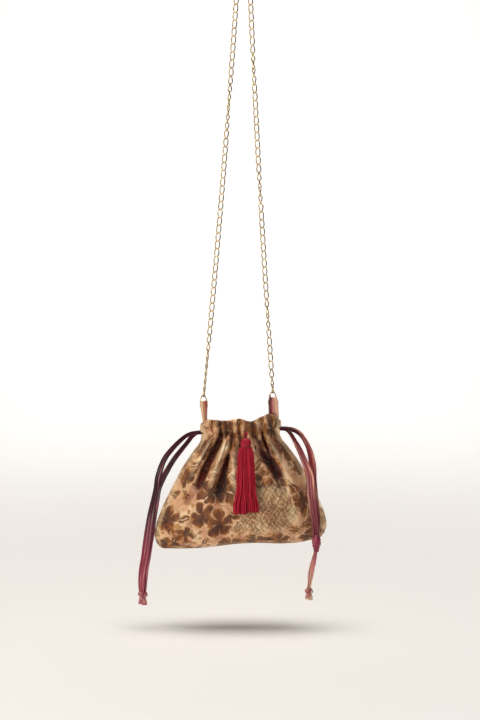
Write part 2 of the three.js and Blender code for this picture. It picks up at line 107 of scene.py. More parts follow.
def joined(name, parts):
    """One mesh object from several lots of points and faces."""
    points = []
    faces = []
    for part_points, part_faces in parts:
        first = len(points)
        points.extend(np.asarray(part_points).tolist())
        faces.extend([tuple(first + i for i in face) for face in part_faces])
    return mesh_object(name, points, faces)


def unit(vectors):
    return vectors / np.linalg.norm(vectors, axis=-1, keepdims=True)


def smoothstep(x, low, high):
    t = np.clip((x - low) / (high - low), 0, 1)
    return t * t * (3 - 2 * t)


def smooth_curve(pairs):
    """A smooth function through pairs of place and value."""
    x, y = np.array(pairs, float).T
    slope = np.gradient(y, x)

    def value(at):
        at = np.clip(at, x[0], x[-1])
        i = np.clip(np.searchsorted(x, at) - 1, 0, len(x) - 2)
        step = x[i + 1] - x[i]
        t = (at - x[i]) / step
        start = (1 + 2 * t) * (1 - t) ** 2 * y[i] + t * (1 - t) ** 2 * step * slope[i]
        return start + t * t * (3 - 2 * t) * y[i + 1] + t * t * (t - 1) * step * slope[i + 1]

    return value


def resample(points, count):
    """Points at equal steps along a line of points."""
    reach = np.concatenate([[0], np.cumsum(np.linalg.norm(np.diff(points, axis=0), axis=1))])
    at = np.linspace(0, reach[-1], count)
    return np.column_stack([np.interp(at, reach, points[:, k]) for k in range(3)])


def smooth_path(points, count):
    """A smooth line through the points, in equal steps."""
    points = np.array(points, float)
    ends = np.vstack([2 * points[0] - points[1], points, 2 * points[-1] - points[-2]])
    t = np.linspace(0, 1, 24, endpoint=False)[:, None]
    dense = []
    for a, b, c, d in zip(ends, ends[1:], ends[2:], ends[3:]):
        dense.append(0.5 * (2 * b + (c - a) * t + (2 * a - 5 * b + 4 * c - d) * t ** 2
                            + (3 * b - a - 3 * c + d) * t ** 3))
    return resample(np.vstack(dense + [points[-1:]]), count)


def tube(path, section, outward, closed=False):
    """Points and faces of a section swept along a path. The section's second axis points along outward."""
    path = np.asarray(path, float)
    along = np.roll(path, -1, 0) - np.roll(path, 1, 0) if closed else np.gradient(path, axis=0)
    along = unit(along)
    outward = np.broadcast_to(outward, path.shape)
    up = unit(outward - along * np.sum(outward * along, axis=1, keepdims=True))
    side = np.cross(up, along)
    section = np.broadcast_to(section, (len(path), *np.shape(section)[-2:]))
    points = path[:, None] + section[..., :1] * side[:, None] + section[..., 1:] * up[:, None]
    rows, columns = points.shape[:2]
    points = points.reshape(-1, 3)
    if closed:
        faces = grid_faces(rows + 1, columns, wrap=True)
        return points, [tuple(i % len(points) for i in face) for face in faces]
    faces = grid_faces(rows, columns, wrap=True)
    faces.append(tuple(reversed(range(columns))))
    faces.append(tuple(range((rows - 1) * columns, rows * columns)))
    return points, faces


def oval(width, thickness, sides):
    """An oval section, counted so that faces look outward."""
    angle = np.linspace(0, 2 * np.pi, sides, endpoint=False)
    return np.column_stack([np.cos(angle) * width / 2, np.sin(angle) * thickness / 2])


def finish_piece(obj, body, slot, material, *nodes):
    """Gives a piece its material, its CAD body and the CAD nodes that it stands for."""
    if material is not None:
        obj.data.materials.clear()
        obj.data.materials.append(material)
    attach(obj, body)
    if nodes:
        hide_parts(*nodes)
    print(obj.name, len(obj.data.polygons), "faces")
    return obj


# %% [markdown]
# The photo was taken from the front, a little above the pouch, with a long lens that
# keeps the two strands of the chain nearly parallel. A named pixel scale turns places
# in the photo into millimetres, so folds can be laid where the eye sees them.

# %% Camera at the photo's angle
PIXEL = 1.156
HANG_PIXEL = (244, -50)
PHOTO_SIZE = (480, 720)
CAMERA_DISTANCE = 4000
CAMERA_LIFT = math.radians(6)
SIGHT_RAISE = 2.8


def photo_xz(px, py):
    """Millimetres across and up, in the chain's plane, for a pixel of the photo."""
    return (px - HANG_PIXEL[0]) * PIXEL, -(py - HANG_PIXEL[1]) * PIXEL


centre_x, centre_z = photo_xz(PHOTO_SIZE[0] / 2, PHOTO_SIZE[1] / 2)
centre_z += SIGHT_RAISE
camera_data = bpy.data.cameras.new("camera")
camera_data.sensor_width = 36
camera_data.lens = camera_data.sensor_width * CAMERA_DISTANCE / (PHOTO_SIZE[1] * PIXEL)
camera_data.clip_end = 50
camera = bpy.data.objects.new("camera", camera_data)
camera.location = Vector((
    centre_x,
    -CAMERA_DISTANCE * math.cos(CAMERA_LIFT),
    centre_z + CAMERA_DISTANCE * math.sin(CAMERA_LIFT),
)) * MM
camera.rotation_euler = (math.pi / 2 - CAMERA_LIFT, 0, 0)
bpy.context.collection.objects.link(camera)
bpy.context.scene.camera = camera
print("lens", round(camera_data.lens, 1), "mm")

# %% [markdown]
# Every material is a small graph of shader nodes, written as a recipe with a node on each
# line. One function adds a node with its inputs, settings and colour stops. Two settings
# come back often: a Map Range that eases in and out, and a Mix of two colours, which are
# its inputs 6 and 7. A Map Range rises from 0 at its input 1 to 1 at its input 2.

# %% Helpers for materials
EASED = {"interpolation_type": "SMOOTHSTEP"}
OF_COLOURS = {"data_type": "RGBA"}


def add_node(tree, kind, inputs=None, stops=(), **settings):
    """A node with its settings, inputs and colour stops. A node given as an input stands for its result."""
    node = tree.nodes.new(kind)
    for key, value in settings.items():
        setattr(node, key, value)
    for socket, value in (inputs or {}).items():
        if isinstance(value, bpy.types.Node):
            value = next(output for output in value.outputs if output.enabled)
        if isinstance(value, bpy.types.NodeSocket):
            tree.links.new(value, node.inputs[socket])
        else:
            node.inputs[socket].default_value = value
    elements = node.color_ramp.elements if stops else []
    while len(elements) < len(stops):
        elements.new(0.5)
    for element, (place, colour) in zip(elements, stops):
        element.position = place
        element.color = linear(colour)
    return node


def new_material(name, **constants):
    """A material, its node tree and its main shader. Underscores in a socket's name stand for spaces."""
    material = bpy.data.materials.new(name)
    material.use_nodes = True
    shader = material.node_tree.nodes["Principled BSDF"]
    for socket, value in constants.items():
        shader.inputs[socket.replace("_", " ")].default_value = value
    return material, material.node_tree, shader


print("material helpers ready")

# %% [markdown]
# The drawstrings are free cords, so they come before anything else. Each is a pair of
# narrow satin ribbons that leave the neck at one side and hang by their own weight.
# A ribbon is a thin strip swept along its route. It leaves the casing bunched, opens
# to its full width, is creased lengthwise where it was drawn through, and closes again
# towards its knot.

# %% Satin of the ribbons
BAG_SETBACK = 7.2
RIBBON_WIDTH = 9
RIBBON_STEPS = 170
RIBBON_COLUMNS = 17
TUCKED_IN = 3


def satin(name, stops, streak):
    """Dyed satin. Long floats of thread along the ribbon give fine streaks and a soft gloss; broad patches
    mixed towards a lighter colour are a painted highlight.
    """
    material, tree, shader = new_material(
        name, Roughness=0.36, Specular_IOR_Level=0.5, Sheen_Weight=0.1, Sheen_Roughness=0.4,
        Sheen_Tint=linear("#ffd9cf"))
    place = add_node(tree, "ShaderNodeAttribute", attribute_name="ribbon").outputs["Vector"]
    axes = add_node(tree, "ShaderNodeSeparateXYZ", {0: place})
    thin_floats = add_node(tree, "ShaderNodeVectorMath", {0: place, 1: (1.6, 0.012, 0)}, operation="MULTIPLY")
    fine = add_node(tree, "ShaderNodeTexNoise", {"Vector": thin_floats, "Scale": 3, "Detail": 2})
    wide_floats = add_node(tree, "ShaderNodeVectorMath", {0: place, 1: (0.5, 0.014, 0)}, operation="MULTIPLY")
    broad = add_node(tree, "ShaderNodeTexNoise", {"Vector": wide_floats, "Scale": 1.5, "Detail": 1})
    wander = add_node(tree, "ShaderNodeMath", {0: broad, 1: 0.22, 2: axes.outputs["Z"]},
                      operation="MULTIPLY_ADD")
    along = add_node(tree, "ShaderNodeMath", {0: wander, 1: 0.11}, operation="SUBTRACT")
    dye_and_painted_light = add_node(tree, "ShaderNodeValToRGB", {0: along}, stops)
    # Painted highlight: where the broad noise is high, the dye is mixed towards the lighter gleam colour.
    gleam = add_node(tree, "ShaderNodeMapRange", {0: broad, 1: 0.48, 2: 0.7}, **EASED)
    lit = add_node(tree, "ShaderNodeMix", {0: gleam, 6: dye_and_painted_light, 7: linear(streak)}, **OF_COLOURS)
    gaps = add_node(tree, "ShaderNodeMapRange", {0: fine, 1: 0.6, 2: 0.3}, **EASED)
    shade = add_node(tree, "ShaderNodeMix", {0: gaps, 6: lit, 7: linear("#c8aeb2")},
                     blend_type="MULTIPLY", **OF_COLOURS)
    relief = add_node(tree, "ShaderNodeBump", {"Height": fine, "Distance": 0.08 * MM, "Strength": 0.35})
    tree.links.new(shade.outputs[2], shader.inputs["Base Color"])
    tree.links.new(relief.outputs[0], shader.inputs["Normal"])
    return material


# The left maroon ribbon runs from deep maroon near the neck to pink near the knot: the darkest stops near the
# top are painted shade and the pink stops a painted highlight on the maroon dye.
maroon_left = satin("satin_ribbon_woven_maroon", [
    (0, "#4a0c1e"), (0.3, "#33060f"), (0.58, "#4c0c22"), (0.8, "#9c2848"), (1, "#b85a68")], "#8a2a42")
maroon_right = satin("satin_ribbon_woven_rose", [
    (0, "#4e0e20"), (0.2, "#6c1a2c"), (0.45, "#9c444a"), (0.75, "#842838"), (1, "#74182e")], "#e0a088")
peach_satin = satin("satin_ribbon_woven_peach", [
    (0, "#a84f5c"), (0.4, "#c9807a"), (1, "#dcb294")], "#ecc8ac")
crimson_satin = satin("satin_ribbon_woven_crimson", [
    (0, "#7a1c38"), (0.5, "#972a48"), (1, "#7c1d3a")], "#b85068")
pink_satin = satin("satin_ribbon_woven_pink", [
    (0, "#a8485c"), (0.5, "#c47a7c"), (1, "#b8666e")], "#dca8a0")
print("satins", 5)

# %% Routes of the drawstrings
LEFT_ROUTE = [
    (-50.5, 0, -556.5), (-57, 0, -557), (-63.5, 0, -560.5), (-71, -1, -568), (-78, -1.5, -576),
    (-84, -2, -583.5), (-89, -2, -591.5), (-93, -2.5, -600), (-97, -2.5, -610), (-100, -3, -621),
    (-102.5, -3, -633), (-105, -3, -646), (-107.6, -3, -659), (-109.8, -3, -672), (-111.7, -3, -685),
    (-114, -3, -701), (-116.6, -3, -715), (-117.8, -3, -728), (-118, -3, -741)]
RIGHT_ROUTE = [
    (42.6, 0, -552), (48.6, 0, -552.3), (54.5, 0, -554), (59.8, -2, -558), (64, -5.5, -564),
    (68, -10, -571), (71.5, -14, -579), (74.3, -17, -588), (76.5, -19.5, -597), (77.8, -21, -606),
    (78.6, -22, -616), (79.4, -22.5, -626), (80.5, -22.5, -636), (81.8, -22.5, -646), (83, -22, -656),
    (83.6, -21.5, -665), (83.8, -21, -673)]
TAIL_ROUTE = [
    (82.8, -21, -693.7), (81, -21, -703), (78.4, -21, -714), (76.6, -21, -725), (75.3, -21, -735)]
RIBBON_SPREAD = 3
RIBBON_THICKNESS = 1.6
RIBBON_GAP = 0.3
SHOULDER_PARTING = 9
SHOULDER_POINTS = 9


def in_bag(route):
    """A route in the bag's own place, moved to the frame."""
    return np.array(route, float) + (0, BAG_SETBACK, 0)


def strand_route(route, which):
    """One of a pair of ribbons: -1 lies in front and 1 behind."""
    points = in_bag(route)
    number = np.arange(len(points))
    shoulder = np.sin(np.pi * np.minimum(1, number / SHOULDER_POINTS))
    points[:, 0] += which * (RIBBON_SPREAD * np.minimum(1, number / 3) + SHOULDER_PARTING * shoulder) / 2
    points[:, 1] += which * ((RIBBON_THICKNESS + RIBBON_GAP) / 2 + RIBBON_THICKNESS / 2 * shoulder)
    return points


def ribbon(name, route, widths, turns, crease, seed):
    """A creased strip along a route. Widths and turns are pairs of share of the length and value."""
    route = np.array(route)
    ends = unit(np.array([route[0] - route[1], route[-1] - route[-2]])) * TUCKED_IN
    path = smooth_path(np.vstack([route[0] + ends[0], route, route[-1] + ends[1]]), RIBBON_STEPS)
    share = np.linspace(0, 1, RIBBON_STEPS)
    length = np.linalg.norm(np.diff(path, axis=0), axis=1).sum()
    along = unit(np.gradient(path, axis=0))
    front = np.array([0, -1.0, 0])
    facing = unit(front - along * (along @ front)[:, None])
    side = np.cross(along, facing)
    angle = np.radians(smooth_curve(turns)(share))[:, None]
    out = facing * np.cos(angle) + side * np.sin(angle)
    side = side * np.cos(angle) - facing * np.sin(angle)
    across = np.linspace(-1, 1, RIBBON_COLUMNS)
    half = smooth_curve(widths)(share) / 2
    folded = 1 - half / (RIBBON_WIDTH / 2)
    phase = seed + 1.3 * np.sin(3.1 * share * np.pi + seed) + 0.4 * np.sin(9.7 * share * np.pi)
    wave = np.sin(2.6 * np.pi * across[None] + phase[:, None])
    cup = across[None] ** 2 - 0.4
    rise = crease * (0.55 + 1.2 * np.clip(folded, 0, 1))[:, None] * wave + 0.5 * cup
    reach = half[:, None] * (across[None] + 0.06 * np.cos(2.6 * np.pi * across[None] + phase[:, None]))
    points = path[:, None] + reach[..., None] * side[:, None] + rise[..., None] * out[:, None]
    faces = grid_faces(RIBBON_STEPS, RIBBON_COLUMNS)
    obj = mesh_object(name, points.reshape(-1, 3), [tuple(reversed(face)) for face in faces])
    place = np.zeros((RIBBON_STEPS, RIBBON_COLUMNS, 3))
    place[..., 0] = across[None] + seed
    place[..., 1] = (share * length)[:, None]
    place[..., 2] = share[:, None]
    store(obj, "ribbon", place.reshape(-1, 3))
    shell = obj.modifiers.new("thickness", "SOLIDIFY")
    shell.thickness = 0.35 * MM
    shell.offset = 0
    keep_result(obj)
    return obj, path * MM, length * MM


# %% [markdown]
# Five ribbons are swept: two on the left, two on the right, and the single tail
# below the right-hand wrap. The turns are degrees about the ribbon's own
# line, which is what makes one stretch shine and the next go dark.

# %% Ribbons of the drawstrings
LEFT_WIDTHS = [(0, 4.4), (0.1, 5), (0.25, 6.4), (0.45, 8.2), (0.8, 9), (0.93, 8), (1, 5)]
RIGHT_WIDTHS = [(0, 4.4), (0.14, 4.8), (0.35, 6.8), (0.6, 9), (0.85, 8), (1, 5)]
STRANDS = [
    ("left_drawstring_front", strand_route(LEFT_ROUTE, -1), LEFT_WIDTHS,
     [(0, 30), (0.2, 8), (0.45, -28), (0.7, 6), (0.88, -16), (1, 10)], 0.62, 0.4, maroon_left),
    ("left_drawstring_back", strand_route(LEFT_ROUTE, 1), LEFT_WIDTHS,
     [(0, -20), (0.25, 22), (0.5, 30), (0.8, -12), (1, -8)], 0.62, 2.1, maroon_left),
    ("right_drawstring_front", strand_route(RIGHT_ROUTE, -1), RIGHT_WIDTHS,
     [(0, 26), (0.25, -10), (0.55, 14), (0.8, -12), (1, 0)], 0.62, 3.7, maroon_right),
    ("right_drawstring_back", strand_route(RIGHT_ROUTE, 1), RIGHT_WIDTHS,
     [(0, -24), (0.3, 26), (0.6, -20), (1, 0)], 0.62, 5.2, maroon_right),
    ("right_tail", in_bag(TAIL_ROUTE), [(0, 4), (0.3, 6), (0.7, 6.4), (1, 4)],
     [(0, 0), (0.4, 22), (0.8, -26), (1, 0)], 0.5, 1.2, peach_satin)]
for name, route, widths, turns, crease, seed, material in STRANDS:
    obj, path, length = ribbon(name + "_ribbon", route, widths, turns, crease, seed)
    slot = "pink_ribbon" if name == "right_tail" else "maroon_ribbon"
    finish_piece(obj, "bag", slot, material, name)
    print(name, "length", round(length, 4), "m")

# %% [markdown]
# A ribbon is knotted so that it cannot slip back. The ends of a knot seen from the
# front are a band that goes over and under itself, so a three-lobed closed line with
# a flat band round it stands for the overhand knot, with the cut ends fanned out below.

# %% Knots
KNOT_STEPS = 96


def knot_ball(middle, width, height, depth, band):
    """A flat band along a three-lobed knot line, round a small core."""
    t = np.linspace(0, 2 * np.pi, KNOT_STEPS, endpoint=False)
    line = np.column_stack([
        np.sin(t) + 2 * np.sin(2 * t), -1.1 * np.sin(3 * t), np.cos(t) - 2 * np.cos(2 * t)])
    line *= np.array([width - 2, depth - 2, height - 2]) / 2 / np.abs(line).max(axis=0)
    swept = tube(middle + line, oval(band, 1.9, 10), line + 1e-6, closed=True)
    around, down = np.meshgrid(
        np.linspace(0, 2 * np.pi, 20, endpoint=False), np.linspace(0.1, np.pi - 0.1, 10))
    core = np.stack([np.cos(around) * np.sin(down) * width, np.sin(around) * np.sin(down) * depth,
                     np.cos(down) * height], axis=-1) * 0.33
    return [swept, (middle + core.reshape(-1, 3), grid_faces(10, 20, wrap=True))]


def cut_end(start, end, width, lean):
    """A short end of ribbon below a knot, fanned and cut across."""
    path = smooth_path([start, (np.array(start) + end) / 2 + (lean, -0.8, 0), end], 14)
    share = np.linspace(0, 1, 14)
    spread = np.interp(share, [0, 0.4, 1], [0.45, 0.8, 1])[:, None, None]
    section = oval(width, 1.1, 12)[None] * np.concatenate([spread, spread ** 0.2], axis=2)
    return tube(path, section, (0.3, -1, 0))


def knot_place(obj, low, high):
    """Ribbon coordinates for a knot: round it, down it in millimetres and as a share."""
    co = np.array([v.co for v in obj.data.vertices]) / MM
    share = (high - co[:, 2]) / (high - low)
    store(obj, "ribbon", np.column_stack([co[:, 0] * 0.4, co[:, 2] * 3, share]))


def end_knot(name, node, material, band):
    """An overhand knot and the cut ends below it, in the place of its CAD solid."""
    low, high = (np.array(corner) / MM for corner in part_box(node))
    middle = (low + high) / 2
    size = high - low
    ball_height = size[2] * 0.6
    ball_middle = (middle[0], middle[1], high[2] - ball_height / 2)
    parts = knot_ball(ball_middle, size[0], ball_height, size[1] * 0.8, band)
    foot = high[2] - ball_height * 0.72
    for sign in (-1, 1):
        start = (middle[0] + sign * 0.6, middle[1], foot)
        end = (middle[0] + sign * size[0] * 0.17, middle[1] - sign * 1.3, low[2] + (0.6 if sign > 0 else 1.8))
        parts.append(cut_end(start, end, size[0] * 0.62, sign * 0.7))
    obj = joined(name, parts)
    knot_place(obj, low[2], high[2])
    return finish_piece(obj, "bag", "pink_ribbon", material, node)


def wrap_knot(name, node, material, turns, band):
    """A ribbon wound round the strands, narrower below, over a solid core."""
    low, high = (np.array(corner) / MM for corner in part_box(node))
    middle = (low + high) / 2
    t = np.linspace(0, 1, 150)
    angle = 2 * np.pi * turns * t
    radius = np.interp(t, [0, 0.15, 0.5, 0.75, 1], [2.6, 4.3, 4.6, 3.1, 2.5])
    z = np.interp(t, [0, 1], [high[2] - band * 0.42, low[2] + band * 0.42])
    line = np.column_stack([
        middle[0] + radius * np.cos(angle), middle[1] + radius * 0.8 * np.sin(angle),
        z + 0.9 * np.sin(angle)])
    outward = np.column_stack([np.cos(angle), np.sin(angle), 0.1 * np.sin(3 * angle)])
    parts = [tube(line, oval(band, 1.5, 10), outward)]
    stem = np.column_stack([np.full(12, middle[0]), np.full(12, middle[1]), np.linspace(high[2], low[2], 12)])
    parts.append(tube(stem, oval(5.6, 4.4, 14), (0, -1.0, 0)))
    obj = joined(name, parts)
    knot_place(obj, low[2], high[2])
    return finish_piece(obj, "bag", "maroon_ribbon", material, node)


left_knot = end_knot("left_end_knot_tied", "left_end_knot", pink_satin, 5.0)
right_wrap = wrap_knot("right_wrap_knot_tied", "right_wrap_knot", crimson_satin, 4.2, 6.2)
right_knot = end_knot("right_end_knot_tied", "right_end_knot", peach_satin, 4.4)

# %% [markdown]
# The pouch cloth is cut velvet. Loops of pile are woven into a satin ground in the
# pattern's shapes and cut, so the flowers stand up as brown pile and the ground between
# them stays smooth and pale. The pattern here is a generic one of flowers, leaves and a
# scribbled lattice, made of simple shapes in cloth millimetres. Pile scatters light at
# its edges, which gives the eye a soft bloom on every fold, and the satin gives a gleam.

# %% Cut velvet
FLOWER_PITCH = 35
LEAF_PITCH = 16
SPRIG_PITCH = 8
LATTICE_PITCH = 5.2
LATTICE_MIDDLE = (92, 148, 0)


def turned(tree, offset, turn):
    """The x and y of an offset turned by an angle in radians."""
    spun = add_node(tree, "ShaderNodeVectorRotate", {"Vector": offset, "Angle": turn}, rotation_type="Z_AXIS")
    axes = add_node(tree, "ShaderNodeSeparateXYZ", {0: spun.outputs[0]})
    return axes.outputs["X"], axes.outputs["Y"]


def motif_cells(tree, place, pitch, randomness, seed):
    """Offsets from scattered motif centres, in pitches, with a random number for each motif."""
    in_pitches = add_node(tree, "ShaderNodeVectorMath", {0: place, 1: (1 / pitch, 1 / pitch, 0)},
                          operation="MULTIPLY")
    shifted = add_node(tree, "ShaderNodeVectorMath", {0: in_pitches, 1: (seed, seed, 0)},
                       operation="ADD")
    cells = add_node(tree, "ShaderNodeTexVoronoi", {"Vector": shifted, "Scale": 1, "Randomness": randomness},
                     voronoi_dimensions="2D")
    offset = add_node(tree, "ShaderNodeVectorMath", {0: shifted, 1: cells.outputs["Position"]},
                      operation="SUBTRACT")
    chance = add_node(tree, "ShaderNodeSeparateColor", {0: cells.outputs["Color"]})
    return offset.outputs[0], chance.outputs[0], chance.outputs[1]


def flower_edge(tree, offset, turn, size, petals):
    """How far inside a flower's petals a point lies, in pitches, and where it lies across its petal."""
    x, y = turned(tree, offset, turn)
    angle = add_node(tree, "ShaderNodeMath", {0: y, 1: x}, operation="ARCTAN2")
    petal_angle = add_node(tree, "ShaderNodeMath", {0: angle, 1: petals / 2}, operation="MULTIPLY")
    wave = add_node(tree, "ShaderNodeMath", {0: petal_angle}, operation="COSINE")
    petal = add_node(tree, "ShaderNodeMath", {0: wave}, operation="ABSOLUTE")
    rounded = add_node(tree, "ShaderNodeMath", {0: petal}, operation="SQRT")
    share = add_node(tree, "ShaderNodeMath", {0: rounded, 1: 0.5, 2: 0.5}, operation="MULTIPLY_ADD")
    reach = add_node(tree, "ShaderNodeMath", {0: size, 1: share}, operation="MULTIPLY")
    radius = add_node(tree, "ShaderNodeVectorMath", {0: offset}, operation="LENGTH")
    edge = add_node(tree, "ShaderNodeMath", {0: reach, 1: radius}, operation="SUBTRACT")
    return edge, radius, petal


def leaf_edge(tree, offset, turn, length, width):
    """How far inside a pointed leaf a point lies, in pitches, and how far from its vein."""
    x, y = turned(tree, offset, turn)
    run = add_node(tree, "ShaderNodeMath", {0: x, 1: length}, operation="DIVIDE")
    squared = add_node(tree, "ShaderNodeMath", {0: run, 1: run}, operation="MULTIPLY")
    taper = add_node(tree, "ShaderNodeMath", {0: 1.0, 1: squared}, operation="SUBTRACT")
    half_width = add_node(tree, "ShaderNodeMath", {0: taper, 1: width}, operation="MULTIPLY")
    aside = add_node(tree, "ShaderNodeMath", {0: y}, operation="ABSOLUTE")
    inside = add_node(tree, "ShaderNodeMath", {0: half_width, 1: aside}, operation="SUBTRACT")
    return inside, aside


def without(tree, value, cover):
    """The value where the cover is 0, and less where it is more."""
    bare = add_node(tree, "ShaderNodeMath", {0: 1.0, 1: cover}, operation="SUBTRACT")
    return add_node(tree, "ShaderNodeMath", {0: value, 1: bare}, operation="MULTIPLY")


def pile_pattern(tree, warp):
    """Where the pile stands, how deep inside its shape a point lies, and the light line round the flowers."""
    offset, chance, size = motif_cells(tree, warp, FLOWER_PITCH, 0.8, 3.2)
    turn = add_node(tree, "ShaderNodeMath", {0: chance, 1: 6.28}, operation="MULTIPLY")
    reach = add_node(tree, "ShaderNodeMath", {0: size, 1: 0.2, 2: 0.34}, operation="MULTIPLY_ADD")
    edge, radius, petal = flower_edge(tree, offset, turn, reach, 5)
    flower = add_node(tree, "ShaderNodeMapRange", {0: edge, 1: -0.01, 2: 0.06}, **EASED)
    petal_gap = add_node(tree, "ShaderNodeMapRange", {0: petal, 1: 0.4, 2: 0.1}, **EASED)
    off_middle = add_node(tree, "ShaderNodeMapRange", {0: radius, 1: 0.06, 2: 0.2}, **EASED)
    split = add_node(tree, "ShaderNodeMath", {0: petal_gap, 1: off_middle}, operation="MULTIPLY")
    faint_split = add_node(tree, "ShaderNodeMath", {0: split, 1: 0.8}, operation="MULTIPLY")

    offset, chance, size = motif_cells(tree, warp, LEAF_PITCH, 0.95, 8.1)
    turn = add_node(tree, "ShaderNodeMath", {0: chance, 1: 6.28}, operation="MULTIPLY")
    inside, aside = leaf_edge(tree, offset, turn, 0.66, 0.3)
    blade = add_node(tree, "ShaderNodeMapRange", {0: inside, 1: -0.02, 2: 0.12}, **EASED)
    some_leaves = add_node(tree, "ShaderNodeMapRange", {0: size, 1: 0.3, 2: 0.36}, **EASED)
    leaf = add_node(tree, "ShaderNodeMath", {0: blade, 1: some_leaves}, operation="MULTIPLY")
    near_vein = add_node(tree, "ShaderNodeMapRange", {0: aside, 1: 0.06, 2: 0.015}, **EASED)
    vein = add_node(tree, "ShaderNodeMath", {0: near_vein, 1: leaf}, operation="MULTIPLY")

    offset, chance, size = motif_cells(tree, warp, SPRIG_PITCH, 0.9, 1.7)
    sprig_edge = flower_edge(tree, offset, chance, 0.42, 4)[0]
    bloom = add_node(tree, "ShaderNodeMapRange", {0: sprig_edge, 1: -0.02, 2: 0.2}, **EASED)
    some_sprigs = add_node(tree, "ShaderNodeMapRange", {0: size, 1: 0.5, 2: 0.56}, **EASED)
    sprig = add_node(tree, "ShaderNodeMath", {0: bloom, 1: some_sprigs}, operation="MULTIPLY")
    faint_sprig = add_node(tree, "ShaderNodeMath", {0: sprig, 1: 0.8}, operation="MULTIPLY")

    flower_pile = without(tree, flower, faint_split)
    leaf_pile = without(tree, leaf, vein)
    large = add_node(tree, "ShaderNodeMath", {0: flower_pile, 1: leaf_pile}, operation="MAXIMUM")
    pile = add_node(tree, "ShaderNodeMath", {0: large, 1: faint_sprig}, operation="MAXIMUM")
    flower_depth = add_node(tree, "ShaderNodeMapRange", {0: edge, 1: 0.0, 2: 0.2}, **EASED)
    leaf_depth = add_node(tree, "ShaderNodeMapRange", {0: inside, 1: 0.02, 2: 0.3}, **EASED)
    depth = add_node(tree, "ShaderNodeMath", {0: flower_depth, 1: leaf_depth}, operation="MAXIMUM")
    past_edge = add_node(tree, "ShaderNodeMath", {0: edge, 1: 0.035}, operation="ADD")
    off_line = add_node(tree, "ShaderNodeMath", {0: past_edge}, operation="ABSOLUTE")
    rim = add_node(tree, "ShaderNodeMapRange", {0: off_line, 1: 0.035, 2: 0.005}, **EASED)
    return pile, depth, without(tree, rim, pile)


def lattice_pattern(tree, cloth, warp):
    """A patch of crossing bands, scribbled like embroidery, with a light and a dark side."""
    from_middle = add_node(tree, "ShaderNodeVectorMath", {0: cloth, 1: LATTICE_MIDDLE}, operation="SUBTRACT")
    in_reaches = add_node(tree, "ShaderNodeVectorMath", {0: from_middle, 1: (1 / 40, 1 / 36, 0)},
                          operation="MULTIPLY")
    away = add_node(tree, "ShaderNodeVectorMath", {0: in_reaches}, operation="LENGTH")
    fray = add_node(tree, "ShaderNodeTexNoise", {"Vector": cloth, "Scale": 0.07, "Detail": 3})
    ragged = add_node(tree, "ShaderNodeMath", {0: fray, 1: 1.6, 2: away}, operation="MULTIPLY_ADD")
    patch = add_node(tree, "ShaderNodeMapRange", {0: ragged, 1: 1.85, 2: 1.5}, **EASED)
    light_lines = []
    dark_lines = []
    for turn in (0.62, -0.7):
        slanted = add_node(tree, "ShaderNodeVectorRotate", {"Vector": warp, "Angle": turn},
                           rotation_type="Z_AXIS")
        band = add_node(tree, "ShaderNodeTexWave",
                        {"Vector": slanted, "Scale": 1 / (LATTICE_PITCH * 3.1), "Distortion": 5.0,
                         "Detail": 2, "Detail Scale": 0.35}).outputs["Fac"]
        light_lines.append(add_node(tree, "ShaderNodeMapRange", {0: band, 1: 0.6, 2: 0.95}, **EASED))
        dark_lines.append(add_node(tree, "ShaderNodeMapRange", {0: band, 1: 0.4, 2: 0.05}, **EASED))
    light = add_node(tree, "ShaderNodeMath", dict(enumerate(light_lines)), operation="MAXIMUM")
    dark = add_node(tree, "ShaderNodeMath", dict(enumerate(dark_lines)), operation="MAXIMUM")
    scribble = add_node(tree, "ShaderNodeTexNoise", {"Vector": cloth, "Scale": 0.3, "Detail": 2})
    stitched = add_node(tree, "ShaderNodeMapRange", {0: scribble, 1: 0.36, 2: 0.6}, **EASED)
    broken = add_node(tree, "ShaderNodeMath", {0: patch, 1: stitched}, operation="MULTIPLY")
    light = add_node(tree, "ShaderNodeMath", {0: light, 1: broken}, operation="MULTIPLY")
    dark = add_node(tree, "ShaderNodeMath", {0: dark, 1: patch}, operation="MULTIPLY")
    return patch, light, dark


